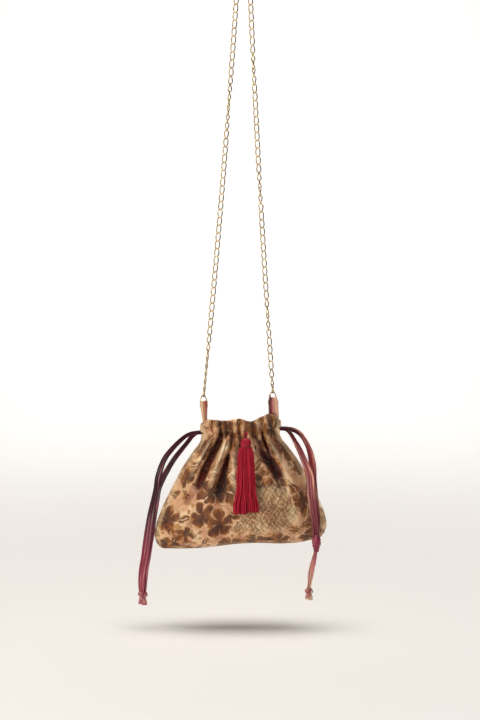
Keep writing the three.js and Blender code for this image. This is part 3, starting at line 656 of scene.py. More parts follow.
def cut_velvet():
    """Brown pile in the pattern's shapes on a champagne satin ground, with painted shade that darkens and warms
    the folds' hollows and a painted highlight on their ridges, lighter along the rim and the seams.
    """
    material, tree, shader = new_material(
        "cut_velvet_woven_on_satin", Specular_IOR_Level=0.45, Sheen_Weight=0.35, Sheen_Roughness=0.35,
        Sheen_Tint=linear("#ffd9a4"))
    cloth = add_node(tree, "ShaderNodeAttribute", attribute_name="cloth").outputs["Vector"]
    fold = add_node(tree, "ShaderNodeAttribute", attribute_name="fold").outputs["Fac"]
    drift = add_node(tree, "ShaderNodeTexNoise", {
        "Vector": cloth, "Scale": 0.06, "Detail": 5, "Roughness": 0.5})
    away = add_node(tree, "ShaderNodeVectorMath", {0: drift.outputs[1], 1: (0.5, 0.5, 0.5)},
                    operation="SUBTRACT")
    warp = add_node(tree, "ShaderNodeVectorMath", {0: away.outputs[0], 1: (18, 18, 18), 2: cloth},
                    operation="MULTIPLY_ADD").outputs[0]
    pile, depth, rim = pile_pattern(tree, warp)
    patch, light, dark = lattice_pattern(tree, cloth, warp)
    thinned = add_node(tree, "ShaderNodeMath", {0: patch, 1: 0.55}, operation="MULTIPLY")
    pile = without(tree, pile, thinned)
    wear = add_node(tree, "ShaderNodeTexNoise", {"Vector": cloth, "Scale": 0.11, "Detail": 1})
    unworn = add_node(tree, "ShaderNodeMapRange", {0: wear, 1: 0.42, 2: 0.6}, **EASED)
    rim = add_node(tree, "ShaderNodeMath", {0: rim, 1: unworn}, operation="MULTIPLY")

    tone = add_node(tree, "ShaderNodeTexNoise", {"Vector": cloth, "Scale": 0.045, "Detail": 4})
    ground = add_node(tree, "ShaderNodeValToRGB", {0: tone}, [
        (0.3, "#96604c"), (0.42, "#c6906c"), (0.54, "#e0b288"), (0.7, "#fbe0b6")])
    lengthwise = add_node(tree, "ShaderNodeVectorMath", {0: cloth, 1: (1, 0.5, 1)}, operation="MULTIPLY")
    strokes = add_node(tree, "ShaderNodeTexNoise", {"Vector": lengthwise, "Scale": 0.14, "Detail": 5})
    brushed = add_node(tree, "ShaderNodeMath", {0: strokes, 1: 1.5, 2: -0.25}, operation="MULTIPLY_ADD")
    lifted = add_node(tree, "ShaderNodeMath", {0: depth, 1: -0.3, 2: brushed}, operation="MULTIPLY_ADD")
    velvet = add_node(tree, "ShaderNodeValToRGB", {0: lifted}, [
        (0.0, "#2e0c02"), (0.25, "#602a08"), (0.45, "#925212"), (0.8, "#cc9040")])
    colour = ground
    for cover, strength, dye in (
            (rim, 0.8, linear("#eed6ae")), (pile, 0.92, velvet),
            (dark, 0.6, linear("#5a3716")), (light, 0.55, linear("#d6b880"))):
        share = add_node(tree, "ShaderNodeMath", {0: cover, 1: strength}, operation="MULTIPLY")
        colour = add_node(tree, "ShaderNodeMix", {0: share, 6: colour, 7: dye}, **OF_COLOURS)
    # Painted shade: where the fold height is low, in the folds' hollows, the colour is multiplied towards a
    # dark red-brown.
    hollow = add_node(tree, "ShaderNodeMapRange", {0: fold, 1: -0.6, 2: -6.0}, **EASED)
    colour = add_node(tree, "ShaderNodeMix", {0: hollow, 6: colour, 7: linear("#5c1c14")},
                      blend_type="MULTIPLY", **OF_COLOURS)
    # Painted highlight: where the fold height is high, on the folds' ridges, the colour is screened lighter;
    # the raised rim and seams come out lighter the same way.
    ridge = add_node(tree, "ShaderNodeMapRange", {0: fold, 1: 1.5, 2: 6.0}, **EASED)
    wear_and_ridge_highlight = add_node(tree, "ShaderNodeMath", {0: ridge, 1: 0.4}, operation="MULTIPLY")
    colour = add_node(tree, "ShaderNodeMix", {0: wear_and_ridge_highlight, 6: colour, 7: linear("#f0d8b0")},
                      blend_type="SCREEN", **OF_COLOURS)
    matt = add_node(tree, "ShaderNodeMath", {0: pile, 1: 0.35, 2: 0.38}, operation="MULTIPLY_ADD")
    tree.links.new(colour.outputs[2], shader.inputs["Base Color"])
    tree.links.new(matt.outputs[0], shader.inputs["Roughness"])

    tips = add_node(tree, "ShaderNodeTexNoise", {"Vector": cloth, "Scale": 2.4, "Detail": 2})
    tufts = add_node(tree, "ShaderNodeMath", {0: tips, 1: 0.35, 2: 1.0}, operation="MULTIPLY_ADD")
    crush = add_node(tree, "ShaderNodeTexNoise", {"Vector": warp, "Scale": 0.1, "Detail": 3})
    crushed = add_node(tree, "ShaderNodeMath", {0: crush, 1: 5.0}, operation="MULTIPLY")
    height = add_node(tree, "ShaderNodeMath", {0: tufts, 1: pile}, operation="MULTIPLY")
    height = add_node(tree, "ShaderNodeMath", {0: height, 1: crushed}, operation="ADD")
    height = add_node(tree, "ShaderNodeMath", {0: light, 1: 0.8, 2: height}, operation="MULTIPLY_ADD")
    height = add_node(tree, "ShaderNodeMath", {0: rim, 1: 0.4, 2: height}, operation="MULTIPLY_ADD")
    relief = add_node(tree, "ShaderNodeBump", {"Height": height, "Distance": 1.0 * MM, "Strength": 0.9})
    tree.links.new(relief.outputs[0], shader.inputs["Normal"])
    return material


def cloth_reverse():
    """The woven back of the velvet, matt, with the floats of the pattern showing as faint streaks."""
    material, tree, shader = new_material("cut_velvet_woven_back", Roughness=0.7, Sheen_Weight=0.2)
    cloth = add_node(tree, "ShaderNodeAttribute", attribute_name="cloth").outputs["Vector"]
    floats = add_node(tree, "ShaderNodeVectorMath", {0: cloth, 1: (0.9, 0.1, 1)}, operation="MULTIPLY")
    streak = add_node(tree, "ShaderNodeTexNoise", {"Vector": floats, "Scale": 0.7, "Detail": 3})
    colour = add_node(tree, "ShaderNodeValToRGB", {0: streak}, [(0.3, "#5e4028"), (0.7, "#8a6444")])
    relief = add_node(tree, "ShaderNodeBump", {"Height": streak, "Distance": 0.2 * MM, "Strength": 0.5})
    tree.links.new(colour.outputs[0], shader.inputs["Base Color"])
    tree.links.new(relief.outputs[0], shader.inputs["Normal"])
    return material


velvet_front = cut_velvet()
velvet_reverse = cloth_reverse()
print("velvet nodes", len(velvet_front.node_tree.nodes))

# %% [markdown]
# The pouch is two panels sewn together at the sides and the bottom and drawn in at the
# neck. A panel starts as the CAD form: wide and full below, narrow above. The cord
# that draws the neck in makes puffs in the frill above it and folds that run down and
# out below it. The folds of the front are laid as ridges and hollows, each a short line
# with a height and a width, and the vertices are moved by their sum.

# %% Form of a panel
NECK_X = -4
HANG_SKEW = 0.055
TAB_LINE = -518
TAB_LENGTH = 22.2
FRILL_HEIGHT = 14.5
POUCH_DROP = 133
NECK_HALF = 45.5
BASE_HALF = 100
SEAM_ALLOWANCE = 5
CLOTH = 1.2
SEAM_REACH = 1.1
PANEL_ROWS = 150
PANEL_COLUMNS = 220
CUT_HALF = 107
CORNER = 9
PLEAT_RUN = 68
BACK_RIM_DROP = 4
FLARE = smooth_curve([
    (0, 0), (0.07, 0.02), (0.16, 0.18), (0.29, 0.4), (0.46, 0.62), (0.66, 0.86), (0.83, 0.985), (0.92, 1),
    (1, 0.95)])
BULGE = smooth_curve([
    (0, 0), (0.16, 0.22), (0.4, 0.7), (0.64, 1), (0.82, 0.86), (0.94, 0.5), (0.98, 0.24), (1, 0)])
RIM_LINE = smooth_curve([
    (-50, 0), (-40, 1.2), (-21, 0), (-5, 1.5), (8, -2.4), (21, 2.4), (30, 4.6), (41, -0.9)])
BOTTOM_LINE = smooth_curve([
    (-104, 1), (-91, 0.1), (-64, -1.4), (-36, -1), (-14, 0.6), (18, 0.6), (45, -1.6), (65, -1.2),
    (77, 0.7), (96, 3)])


def gather_z(x):
    """Height of the line where the neck is drawn in."""
    return TAB_LINE - TAB_LENGTH - FRILL_HEIGHT + HANG_SKEW * (x - NECK_X)


def fold_sum(x, z, folds):
    """The height that all folds together give each point."""
    total = np.zeros_like(x)
    for height, width, line in folds:
        points = np.array(line, float)
        steps = np.linalg.norm(np.diff(points, axis=0), axis=1)
        reach = np.concatenate([[0], np.cumsum(steps)]) / steps.sum()
        nearest = np.full(x.shape, np.inf)
        share = np.zeros_like(x)
        for (start, end, low, high) in zip(points, points[1:], reach, reach[1:]):
            run = end - start
            t = np.clip(((x - start[0]) * run[0] + (z - start[1]) * run[1]) / (run @ run), 0, 1)
            away = np.hypot(x - start[0] - t * run[0], z - start[1] - t * run[1])
            closer = away < nearest
            nearest = np.where(closer, away, nearest)
            share = np.where(closer, low + t * (high - low), share)
        fade = smoothstep(share, -0.1, 0.12) * (1 - smoothstep(share, 0.5, 1))
        total += height * fade * np.exp(-(nearest / (width * (0.8 + 0.7 * share))) ** 2)
    return total


def puffs(x, drop, gaps, heights):
    """The puffs between the gathers: round between the gaps and pinched at them."""
    gaps = np.array(gaps, float)
    lean = x + 0.9 * np.sin(x * 0.31) * np.clip(drop / FRILL_HEIGHT, -1, 1)
    i = np.clip(np.searchsorted(gaps, lean) - 1, 0, len(gaps) - 2)
    u = np.clip((lean - gaps[i]) / (gaps[i + 1] - gaps[i]), 0, 1)
    return np.array(heights)[i] * np.sin(np.pi * u) ** 0.8


def panel(name, facing, depth, folds, gaps, heights, seed):
    """One panel of the pouch. Facing is -1 for the front and 1 for the back."""
    drop = np.concatenate([
        np.linspace(-FRILL_HEIGHT, 6, 46), np.linspace(6, POUCH_DROP, PANEL_ROWS - 45)[1:]])
    drop, q = np.meshgrid(drop, np.linspace(-1, 1, PANEL_COLUMNS), indexing="ij")
    share = np.clip(drop / POUCH_DROP, 0, 1)
    up = np.clip(-drop / FRILL_HEIGHT, 0, 1)
    half = NECK_HALF + (BASE_HALF - NECK_HALF) * FLARE(share) + 1.6 * np.sin(0.8 * np.pi * up)
    x = NECK_X + q * half
    corner = np.clip((np.abs(q) * half - half + CORNER) / CORNER, 0, 1)
    z = gather_z(x) - drop + CORNER * share ** 14 * (1 - np.sqrt(1 - corner ** 2))
    across = np.clip(np.abs(q) * half / (half - SEAM_ALLOWANCE), 0, 1)
    middle = 11 * (1 - smoothstep(share, 0, 0.64)) + 4 * up + depth * BULGE(share)
    section = (1 - across ** 2.6) ** 0.7
    free = 1 - across ** 5
    frill = puffs(NECK_X + q * NECK_HALF, drop, gaps, heights)
    gathered = (1 - 0.15 * np.exp(-(drop / 4) ** 2)) * (1 - smoothstep(drop, 6, PLEAT_RUN))
    rise = free * (fold_sum(x, z, folds) + gathered * (frill - np.mean(heights) * 0.6))
    rise -= free * 2.2 * np.exp(-(drop / 5) ** 2)
    waves = np.zeros_like(x)
    chooser = np.random.default_rng(seed)
    for wavelength in (34, 26, 19, 14, 11):
        angle = chooser.uniform(0, np.pi)
        waves += wavelength * 0.012 * np.sin(
            2 * np.pi * (x * np.cos(angle) + z * np.sin(angle)) / wavelength + chooser.uniform(0, 6)
            + 1.2 * np.sin(x * 0.05 + wavelength))
    rise += free * waves * smoothstep(share, 0.1, 0.4) * (1 - smoothstep(share, 0.9, 0.99))
    rise -= 1.6 * smoothstep(up, 0.88, 1.0)
    rim_rise = RIM_LINE(x) + 0.22 * (frill - 2) - (BACK_RIM_DROP if facing > 0 else 0)
    rim_rise = rim_rise - 4 * smoothstep(np.abs(q), 0.84, 1) ** 2
    z = z + rim_rise * smoothstep(up, 0, 1) + BOTTOM_LINE(x) * smoothstep(share, 0.55, 1)
    y = BAG_SETBACK + facing * (SEAM_REACH + np.maximum(middle * section + rise, 0))
    # The fold height also steers the colour: low values get painted shade and high values a painted highlight.
    # It is raised along the rim and the seams so that they come out lighter.
    fold_height = rise + 0.8 * smoothstep(-drop, -3, 3) + 3 * smoothstep(up, 0.86, 1)
    fold_height += 5 * np.maximum(smoothstep(across, 0.975, 1), smoothstep(share, 0.985, 1))
    faces = grid_faces(PANEL_ROWS, PANEL_COLUMNS)
    if facing < 0:
        faces = [tuple(reversed(face)) for face in faces]
    obj = mesh_object(name, np.stack([x, y, z], axis=-1).reshape(-1, 3), faces)
    taken_up = half + (CUT_HALF - half) * 0.55
    down = np.cumsum(np.hypot(np.gradient(drop, axis=0), np.gradient(middle, axis=0)), axis=0)
    cloth = np.stack([q * taken_up + seed * 61, down + seed * 37, np.zeros_like(x)], axis=-1)
    store(obj, "cloth", cloth.reshape(-1, 3))
    store(obj, "fold", fold_height.ravel())
    obj.data.materials.append(velvet_front)
    obj.data.materials.append(velvet_reverse)
    shell = obj.modifiers.new("cloth thickness", "SOLIDIFY")
    shell.thickness = CLOTH * MM
    shell.offset = -1
    shell.material_offset = 1
    keep_result(obj)
    print(name, "faces", len(obj.data.polygons))
    return obj


# %% [markdown]
# On the front the folds follow the photo: strong ridges and a deep hollow left of the
# tassel, two hollows on its right, and one along the right-hand side. The back is not
# seen, so its folds are spread evenly with small differences, as a drawn neck makes them.

# %% Front panel and back panel
def in_photo(points):
    """A line of photo pixels in millimetres."""
    return [photo_xz(*point) for point in points]


FRONT_FOLDS = [
    (6.0, 4.6, in_photo([(203.4, 438), (184.2, 459.3), (164, 490)])),
    (8.0, 4.6, in_photo([(213, 434), (200.2, 456), (176, 492)])),
    (7.5, 4.8, in_photo([(227.7, 438), (215.5, 463), (202, 500)])),
    (5.0, 5.4, in_photo([(232, 448), (233.7, 472), (240, 506)])),
    (6.5, 4.4, in_photo([(252.8, 437), (265.6, 449.7), (286, 476)])),
    (7.5, 4.8, in_photo([(266.6, 432), (279.3, 453), (300, 482)])),
    (-14.0, 5.0, in_photo([(221.3, 434), (208, 462), (192, 500)])),
    (-9.0, 4.6, in_photo([(229, 450), (223, 474), (214, 508)])),
    (-14.0, 4.8, in_photo([(256, 436), (266.6, 456), (288, 486)])),
    (-8.0, 3.4, in_photo([(262.4, 432), (274.5, 459), (290, 482)])),
    (-12.0, 4.8, in_photo([(275, 430), (288, 451), (304, 476)])),
    (-9.0, 3.6, in_photo([(208, 434), (192, 458), (170, 492)]))]
GAP_PIXELS = (198, 205.5, 213, 221.7, 227.3, 232.5, 240, 245.6, 252.8, 262.4, 270.4, 286)
FRONT_GAPS = [photo_xz(px, 0)[0] for px in GAP_PIXELS]
FRONT_PUFFS = [4.2, 5.6, 6.4, 4.6, 4.2, 5.4, 4.4, 5.0, 6.6, 6.0, 5.2]

back_chooser = np.random.default_rng(11)
BACK_FOLDS = []
for fold in range(13):
    start_x = NECK_X + (fold - 6) * 7 + back_chooser.uniform(-1.5, 1.5)
    reach = back_chooser.uniform(38, 62)
    spread = 1 + reach / 95
    end_x = NECK_X + (start_x - NECK_X) * spread
    height = 4.8 if fold % 2 == 0 else -5.4
    BACK_FOLDS.append((height, 4.6, [
        (start_x, gather_z(start_x)), ((start_x + end_x) / 2, gather_z(start_x) - reach * 0.45),
        (end_x, gather_z(start_x) - reach)]))
BACK_GAPS = np.linspace(-52, 46, 12) + np.concatenate([[0], back_chooser.uniform(-1.8, 1.8, 10), [0]])
BACK_PUFFS = back_chooser.uniform(4.2, 6.2, 11)

front_cloth = panel("front_panel_cloth", -1, 31, FRONT_FOLDS, FRONT_GAPS, FRONT_PUFFS, 1)
back_cloth = panel("back_panel_cloth", 1, 36, BACK_FOLDS, BACK_GAPS, BACK_PUFFS, 2)
finish_piece(front_cloth, "bag", "velvet", None, "front_panel")
finish_piece(back_cloth, "bag", "velvet", None, "back_panel")

# %% [markdown]
# The strap is curb chain: oval links of round wire, each twisted so that the links lie
# flat in one another. One link is modelled and set at every place along the strand by
# a Geometry Nodes tree, turned as the chain turns while it hangs. The plating is an
# antique gold, lighter and darker in random patches, which the eye reads as old brass.

# %% Helpers for Geometry Nodes
def node_tree(name, *inputs):
    """A Geometry Nodes tree with named inputs, its group input and its output."""
    tree = bpy.data.node_groups.new(name, "GeometryNodeTree")
    tree.interface.new_socket("Geometry", in_out="INPUT", socket_type="NodeSocketGeometry")
    for label, kind in inputs:
        tree.interface.new_socket(label, in_out="INPUT", socket_type=kind)
    tree.interface.new_socket("Geometry", in_out="OUTPUT", socket_type="NodeSocketGeometry")
    return tree, tree.nodes.new("NodeGroupInput").outputs, tree.nodes.new("NodeGroupOutput")


def close_tree(tree, geometry, material, output):
    """Ends a tree in Realize Instances and Set Material."""
    real = add_node(tree, "GeometryNodeRealizeInstances", {0: geometry})
    painted = add_node(tree, "GeometryNodeSetMaterial", {0: real.outputs[0], "Material": material})
    tree.links.new(painted.outputs[0], output.inputs[0])


def grow(obj, tree, **values):
    """Runs a tree on an object with its inputs set by name, and keeps the mesh it makes."""
    modifier = obj.modifiers.new(tree.name, "NODES")
    modifier.node_group = tree
    for socket in tree.interface.items_tree:
        label = socket.name.replace(" ", "_")
        if socket.in_out == "INPUT" and label in values:
            modifier[socket.identifier] = values[label]
    keep_result(obj)
    obj.data.polygons.foreach_set("use_smooth", [True] * len(obj.data.polygons))
    return obj


def gold_plate():
    """Antique gold plate: a metal that is worn lighter in patches and darker where lacquer stays."""
    material, tree, shader = new_material("gold_plate_antiqued", Metallic=1.0)
    place = add_node(tree, "ShaderNodeTexCoord").outputs["Object"]
    wear_and_ridge_highlight = add_node(tree, "ShaderNodeTexNoise", {"Vector": place, "Scale": 260, "Detail": 3})
    colour = add_node(tree, "ShaderNodeValToRGB", {0: wear_and_ridge_highlight}, [
        (0.25, "#7d6536"), (0.5, "#b3965a"), (0.75, "#e8d4a0")])
    rough = add_node(tree, "ShaderNodeMath", {0: wear_and_ridge_highlight, 1: 0.2, 2: 0.15}, operation="MULTIPLY_ADD")
    pits = add_node(tree, "ShaderNodeTexNoise", {"Vector": place, "Scale": 900, "Detail": 2})
    relief = add_node(tree, "ShaderNodeBump", {"Height": pits, "Distance": 0.05 * MM, "Strength": 0.4})
    tree.links.new(colour.outputs[0], shader.inputs["Base Color"])
    tree.links.new(rough.outputs[0], shader.inputs["Roughness"])
    tree.links.new(relief.outputs[0], shader.inputs["Normal"])
    return material


gold = gold_plate()

# %% Chain of links
LINK_PITCH = 9.1
LINK_WIDTH = 6.6
LINK_WIRE = 1.3
LINK_TWIST = 1
LINK_ENGAGE = 0.72
STRAND_BOW = 2
LINK_STEPS = 16
LINK_SIDES = 7
STRAND_TOP = (4.91, 0, 1.6)
LEFT_STRAND_END = (-46.7, 0, -513.9)
RIGHT_STRAND_END = (33.5, 0, -509.49)
LEFT_TURNS = [(0, 0), (127, 0), (181, 1), (231, 2), (430, 2), (470, 3)]
RIGHT_TURNS = [
    (0, 0), (104, 0), (135, 1), (168, 2), (243, 2), (277, 3), (306, 4), (393, 4), (420, 5), (457, 6),
    (480, 6), (502, 7)]


def link_master(half_length):
    """One twisted oval link standing along Z."""
    angle = np.linspace(0, 2 * np.pi, LINK_STEPS, endpoint=False)
    ring = np.column_stack([
        (LINK_WIDTH - LINK_WIRE) / 2 * np.sin(angle) * (1 + 0.08 * np.cos(2 * angle)),
        LINK_TWIST * np.sin(2 * angle), half_length * np.cos(angle)])
    points, faces = tube(ring, oval(LINK_WIRE, LINK_WIRE, LINK_SIDES), (0, 1.0, 0), closed=True)
    return mesh_object("link_master", points, faces)


def strand_places(side, end, turns):
    """Middles of a strand's links and their turns."""
    top = np.array(STRAND_TOP) * (side, 1, 1)
    end = np.array(end, float)
    middle = (top + end) / 2 - (side * 2 * STRAND_BOW, 0, 0)
    t = np.linspace(0, 1, 2001)[:, None]
    line = (1 - t) ** 2 * top + 2 * t * (1 - t) * middle + t ** 2 * end
    length = np.linalg.norm(np.diff(line, axis=0), axis=1).sum()
    count = round((length - LINK_ENGAGE) / LINK_PITCH)
    pitch = (length - LINK_ENGAGE) / count
    down = LINK_ENGAGE / 2 + (np.arange(count) + 0.5) * pitch
    even = resample(line, 2001)
    spot = down / length * 2000
    at = np.column_stack([np.interp(spot, np.arange(2001), even[:, k]) for k in range(3)])
    ahead = np.column_stack([np.interp(spot + 2, np.arange(2001), even[:, k]) for k in range(3)])
    quarter = np.interp(down, *np.array(turns, float).T) * np.pi / 2
    rotations = []
    for rise, turn in zip(at - ahead, quarter):
        align = Vector((0, 0, 1)).rotation_difference(Vector(rise)).to_matrix()
        rotations.append((align @ Matrix.Rotation(turn, 3, "Z")).to_euler())
    return at, rotations


chain_tree, given, output = node_tree(
    "links_along_a_strand", ("Link", "NodeSocketObject"), ("Plating", "NodeSocketMaterial"))
link = add_node(chain_tree, "GeometryNodeObjectInfo", {"Object": given["Link"]})
turn = add_node(chain_tree, "GeometryNodeInputNamedAttribute", {"Name": "turn"}, data_type="FLOAT_VECTOR")
rotation = add_node(chain_tree, "FunctionNodeEulerToRotation", {0: turn.outputs[0]})
placed = add_node(chain_tree, "GeometryNodeInstanceOnPoints", {
    "Points": given["Geometry"], "Instance": link.outputs["Geometry"], "Rotation": rotation.outputs[0]})
close_tree(chain_tree, placed.outputs[0], given["Plating"], output)

master = link_master((LINK_PITCH + LINK_ENGAGE) / 2)
TOP_LINK_TURN = Euler((math.pi / 2, math.pi / 2, 0))
for name, places, rotations in [
        ("left_chain", *strand_places(-1, LEFT_STRAND_END, LEFT_TURNS)),
        ("right_chain", *strand_places(1, RIGHT_STRAND_END, RIGHT_TURNS)),
        ("top_link", [(0, 0, 0)], [TOP_LINK_TURN])]:
    strand = mesh_object(name + "_links", places, [])
    store(strand, "turn", np.array([tuple(r) for r in rotations]))
    grow(strand, chain_tree, Link=master, Plating=gold)
    finish_piece(strand, "chain", "gilt_chain", None, name)
bpy.data.objects.remove(master)

# %% [markdown]
# A wire ring joins each end of the chain to its tab: a straight bar under the ribbon's
# fold and an arch through the last link.

# %% End rings
RING_WIRE = 1.2
RING_WIDTH = 8.4
RING_HEIGHT = 8
RING_ARCH_POWER = 2.4
TAB_PLACES = {"left": -46.7, "right": 33.5}


def bar_z(x):
    """Height of the ring's bar, where the tab hangs."""
    return TAB_LINE + HANG_SKEW * (x - NECK_X)


along = np.linspace(-1, 1, 49)
arch = np.column_stack([
    along * RING_WIDTH / 2, 0 * along, RING_HEIGHT * (1 - np.abs(along) ** RING_ARCH_POWER)])
bar = np.column_stack([np.linspace(1, -1, 16)[1:-1] * RING_WIDTH / 2, np.zeros(14), np.zeros(14)])
ring_line = resample(np.vstack([arch, bar, arch[:1]]), 65)[:-1]
for smoothing in range(2):
    ring_line = (np.roll(ring_line, 1, 0) + 2 * ring_line + np.roll(ring_line, -1, 0)) / 4
ring_turn = np.array(Matrix.Rotation(-math.atan(HANG_SKEW), 3, "Y"))
for side, x in TAB_PLACES.items():
    line = ring_line @ ring_turn.T + (x, 0, bar_z(x))
    swept = tube(line, oval(RING_WIRE, RING_WIRE, 10), (0, 1.0, 0), closed=True)
    ring = mesh_object(side + "_end_ring_wire", *swept)
    finish_piece(ring, "chain", "gilt_chain", gold, side + "_end_ring")

# %% [markdown]
# A tab is a short piece of the same satin ribbon, folded over the bar and sewn to the
# rim. The ring is narrower than the ribbon, so the fold is pinched in the middle and
# an ear stands up at each side of it.

# %% Ribbon tabs
TAB_STEPS = 60
TAB_COLUMNS = 15
# The left tab's dark red stops colour one half of the fold as painted shade, with peach on the other half.
left_tab_satin = satin("satin_ribbon_folded_peach", [
    (0.05, "#f0d2a8"), (0.5, "#e8be98"), (0.6, "#9c3c34"), (0.95, "#b04c40")], "#f4dcb8")
right_tab_satin = satin("satin_ribbon_folded_pink", [
    (0.05, "#4a0c20"), (0.26, "#6b1830"), (0.34, "#d07e7c"), (0.6, "#e2a290"), (0.95, "#f0c8a0")], "#f4d0b4")


def tab(side, x, top_width, shoulder_width, foot_width, ears, material):
    """A folded ribbon: up the back, over the bar and down the front."""
    drop = math.hypot(TAB_LENGTH, BAG_SETBACK) + 1.5
    eye = RING_WIRE / 2 + 0.75
    angle = np.linspace(0.35, math.pi - 0.35, 16)
    loop = np.column_stack([0 * angle, eye * np.cos(angle), eye * np.sin(angle)])
    back = np.array([(0, 0.55, -drop), (0, 0.6, -drop * 0.6), (0, 1.0, -drop * 0.2)])
    line = resample(np.vstack([back, loop, (back * (1, -1, 1))[::-1]]), TAB_STEPS)
    along = unit(np.gradient(line, axis=0))
    out = np.cross(np.broadcast_to((1.0, 0, 0), line.shape), along)
    out = -out
    down = np.clip(-line[:, 2] / drop, 0, 1)
    half = np.interp(down, [0, 0.06, 0.2, 1], [top_width, top_width, shoulder_width, foot_width]) / 2
    across = np.linspace(-1, 1, TAB_COLUMNS)
    crease = 0.42 * np.sin(2.2 * np.pi * across[None] + 1.5 * down[:, None] + x)
    points = line[:, None] + half[:, None, None] * across[None, :, None] * np.array([1.0, 0, 0])
    points = points + crease[..., None] * out[:, None]
    at_front = (line[:, 1] < 0)[:, None] * (1 - smoothstep(down, 0.02, 0.3))[:, None]
    for sign, height in zip((-1, 1), ears):
        ear = smoothstep(sign * across, 0.35, 1.0)[None] * at_front
        points[..., 2] += height * ear
        points[..., 0] += sign * 1.5 * ear
        points[..., 1] -= 0.5 * ear
    lean = Matrix.Rotation(math.atan2(BAG_SETBACK, TAB_LENGTH), 3, "X")
    turn = np.array(Matrix.Rotation(-math.atan(HANG_SKEW), 3, "Y") @ lean)
    world = points.reshape(-1, 3) @ turn.T + (x, 0, bar_z(x))
    obj = mesh_object(side + "_tab_ribbon", world, grid_faces(TAB_STEPS, TAB_COLUMNS))
    place = np.zeros((TAB_STEPS, TAB_COLUMNS, 3))
    place[..., 0] = across[None]
    place[..., 1] = np.arange(TAB_STEPS)[:, None]
    place[..., 2] = (across[None] + 1) / 2
    store(obj, "ribbon", place.reshape(-1, 3))
    shell = obj.modifiers.new("thickness", "SOLIDIFY")
    shell.thickness = 0.35 * MM
    shell.offset = 0
    keep_result(obj)
    return finish_piece(obj, "bag", "pink_ribbon", material, side + "_tab")


tab("left", TAB_PLACES["left"], 5.8, 8.2, 5.2, (1.8, 1.0), left_tab_satin)
tab("right", TAB_PLACES["right"], 6.0, 11.4, 11.6, (4.6, 2.4), right_tab_satin)

# %% [markdown]
# The tassel is a hank of twisted rayon thread. The hank is tied in the middle by the
# loop cord, folded down, and bound below the fold, which makes the round head. The ends
# hang as a skirt of single threads that part into two bunches at the bottom. Rayon has
# a soft lustre along each thread. Painted shade darkens the colour in the twist of each
# thread, in the grooves of the head and towards the middle of the skirt.

# %% Rayon thread
def rayon():
    material, tree, shader = new_material(
        "rayon_thread_twisted", Roughness=0.5, Specular_IOR_Level=0.3, Sheen_Weight=0.08, Sheen_Roughness=0.4,
        Sheen_Tint=linear("#ff6080"))
    thread = add_node(tree, "ShaderNodeAttribute", attribute_name="thread")
    axes = add_node(tree, "ShaderNodeSeparateXYZ", {0: thread.outputs["Vector"]})
    colour = add_node(tree, "ShaderNodeValToRGB", {0: axes.outputs["X"]}, [
        (0, "#66041a"), (0.4, "#9c0826"), (0.75, "#b8102f"), (1, "#c81c40")])
    winding = add_node(tree, "ShaderNodeMath", {0: axes.outputs["Y"], 1: 4.2, 2: axes.outputs["Z"]},
                       operation="MULTIPLY_ADD")
    lay = add_node(tree, "ShaderNodeMath", {0: winding}, operation="SINE")
    # Painted shade: the inner side of each turn of the twist is mixed towards a dark crimson.
    twist_lit_side = add_node(tree, "ShaderNodeMapRange", {0: lay, 1: -1.0, 2: 0.4}, **EASED)
    twisted = add_node(tree, "ShaderNodeMix", {0: twist_lit_side, 6: linear("#66041a"), 7: colour}, **OF_COLOURS)
    softened = add_node(tree, "ShaderNodeMix", {0: 0.3, 6: colour, 7: twisted}, **OF_COLOURS)
    relief = add_node(tree, "ShaderNodeBump", {"Height": lay, "Distance": 0.1 * MM, "Strength": 0.35})
    tree.links.new(softened.outputs[2], shader.inputs["Base Color"])
    tree.links.new(relief.outputs[0], shader.inputs["Normal"])
    return material


thread_material = rayon()

# %% Frame of the tassel
TASSEL_X = 2
HEAD_SIZE = (12, 9.6, 10.5)
SKIRT_TOP_WIDTH = 15
SKIRT_BOTTOM_WIDTH = 29
TASSEL_FLATNESS = 0.46
THREADS = 170
THREAD_POINTS = 26
THREAD_DIAMETER = 1.25

head_low, head_high = (np.array(corner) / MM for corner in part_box("tassel_head"))
skirt_low = np.array(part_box("tassel_skirt")[0]) / MM
loop_low, loop_high = (np.array(corner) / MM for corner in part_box("tassel_loop"))
binding_low, binding_high = (np.array(corner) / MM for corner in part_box("tassel_binding"))
head_middle = (head_low + head_high) / 2
skirt_foot = np.array([TASSEL_X, skirt_low[1] + SKIRT_BOTTOM_WIDTH * TASSEL_FLATNESS / 2, skirt_low[2]])
tassel_down = unit(skirt_foot - head_middle)
tassel_out = unit(np.cross(tassel_down, (1.0, 0, 0)))
if tassel_out[1] > 0:
    tassel_out = -tassel_out


def in_tassel(points, start):
    """Points given as across, towards the front and down, put in the tassel's leaning frame."""
    points = np.asarray(points, float)
    return (start + points[..., :1] * np.array([1.0, 0, 0]) + points[..., 1:2] * tassel_out
            + points[..., 2:] * tassel_down)


# %% [markdown]
# The head is a thread-covered knob, so it is a lathe form with shallow grooves. The
# binding is one thread wound round the neck of the tassel, turn beside turn.

# %% Head, binding and loop
HEAD_ROWS = 26
HEAD_COLUMNS = 108
GROOVES = 27


def thread_values(obj, shade, along, phase):
    store(obj, "thread", np.column_stack([shade, along, phase]))


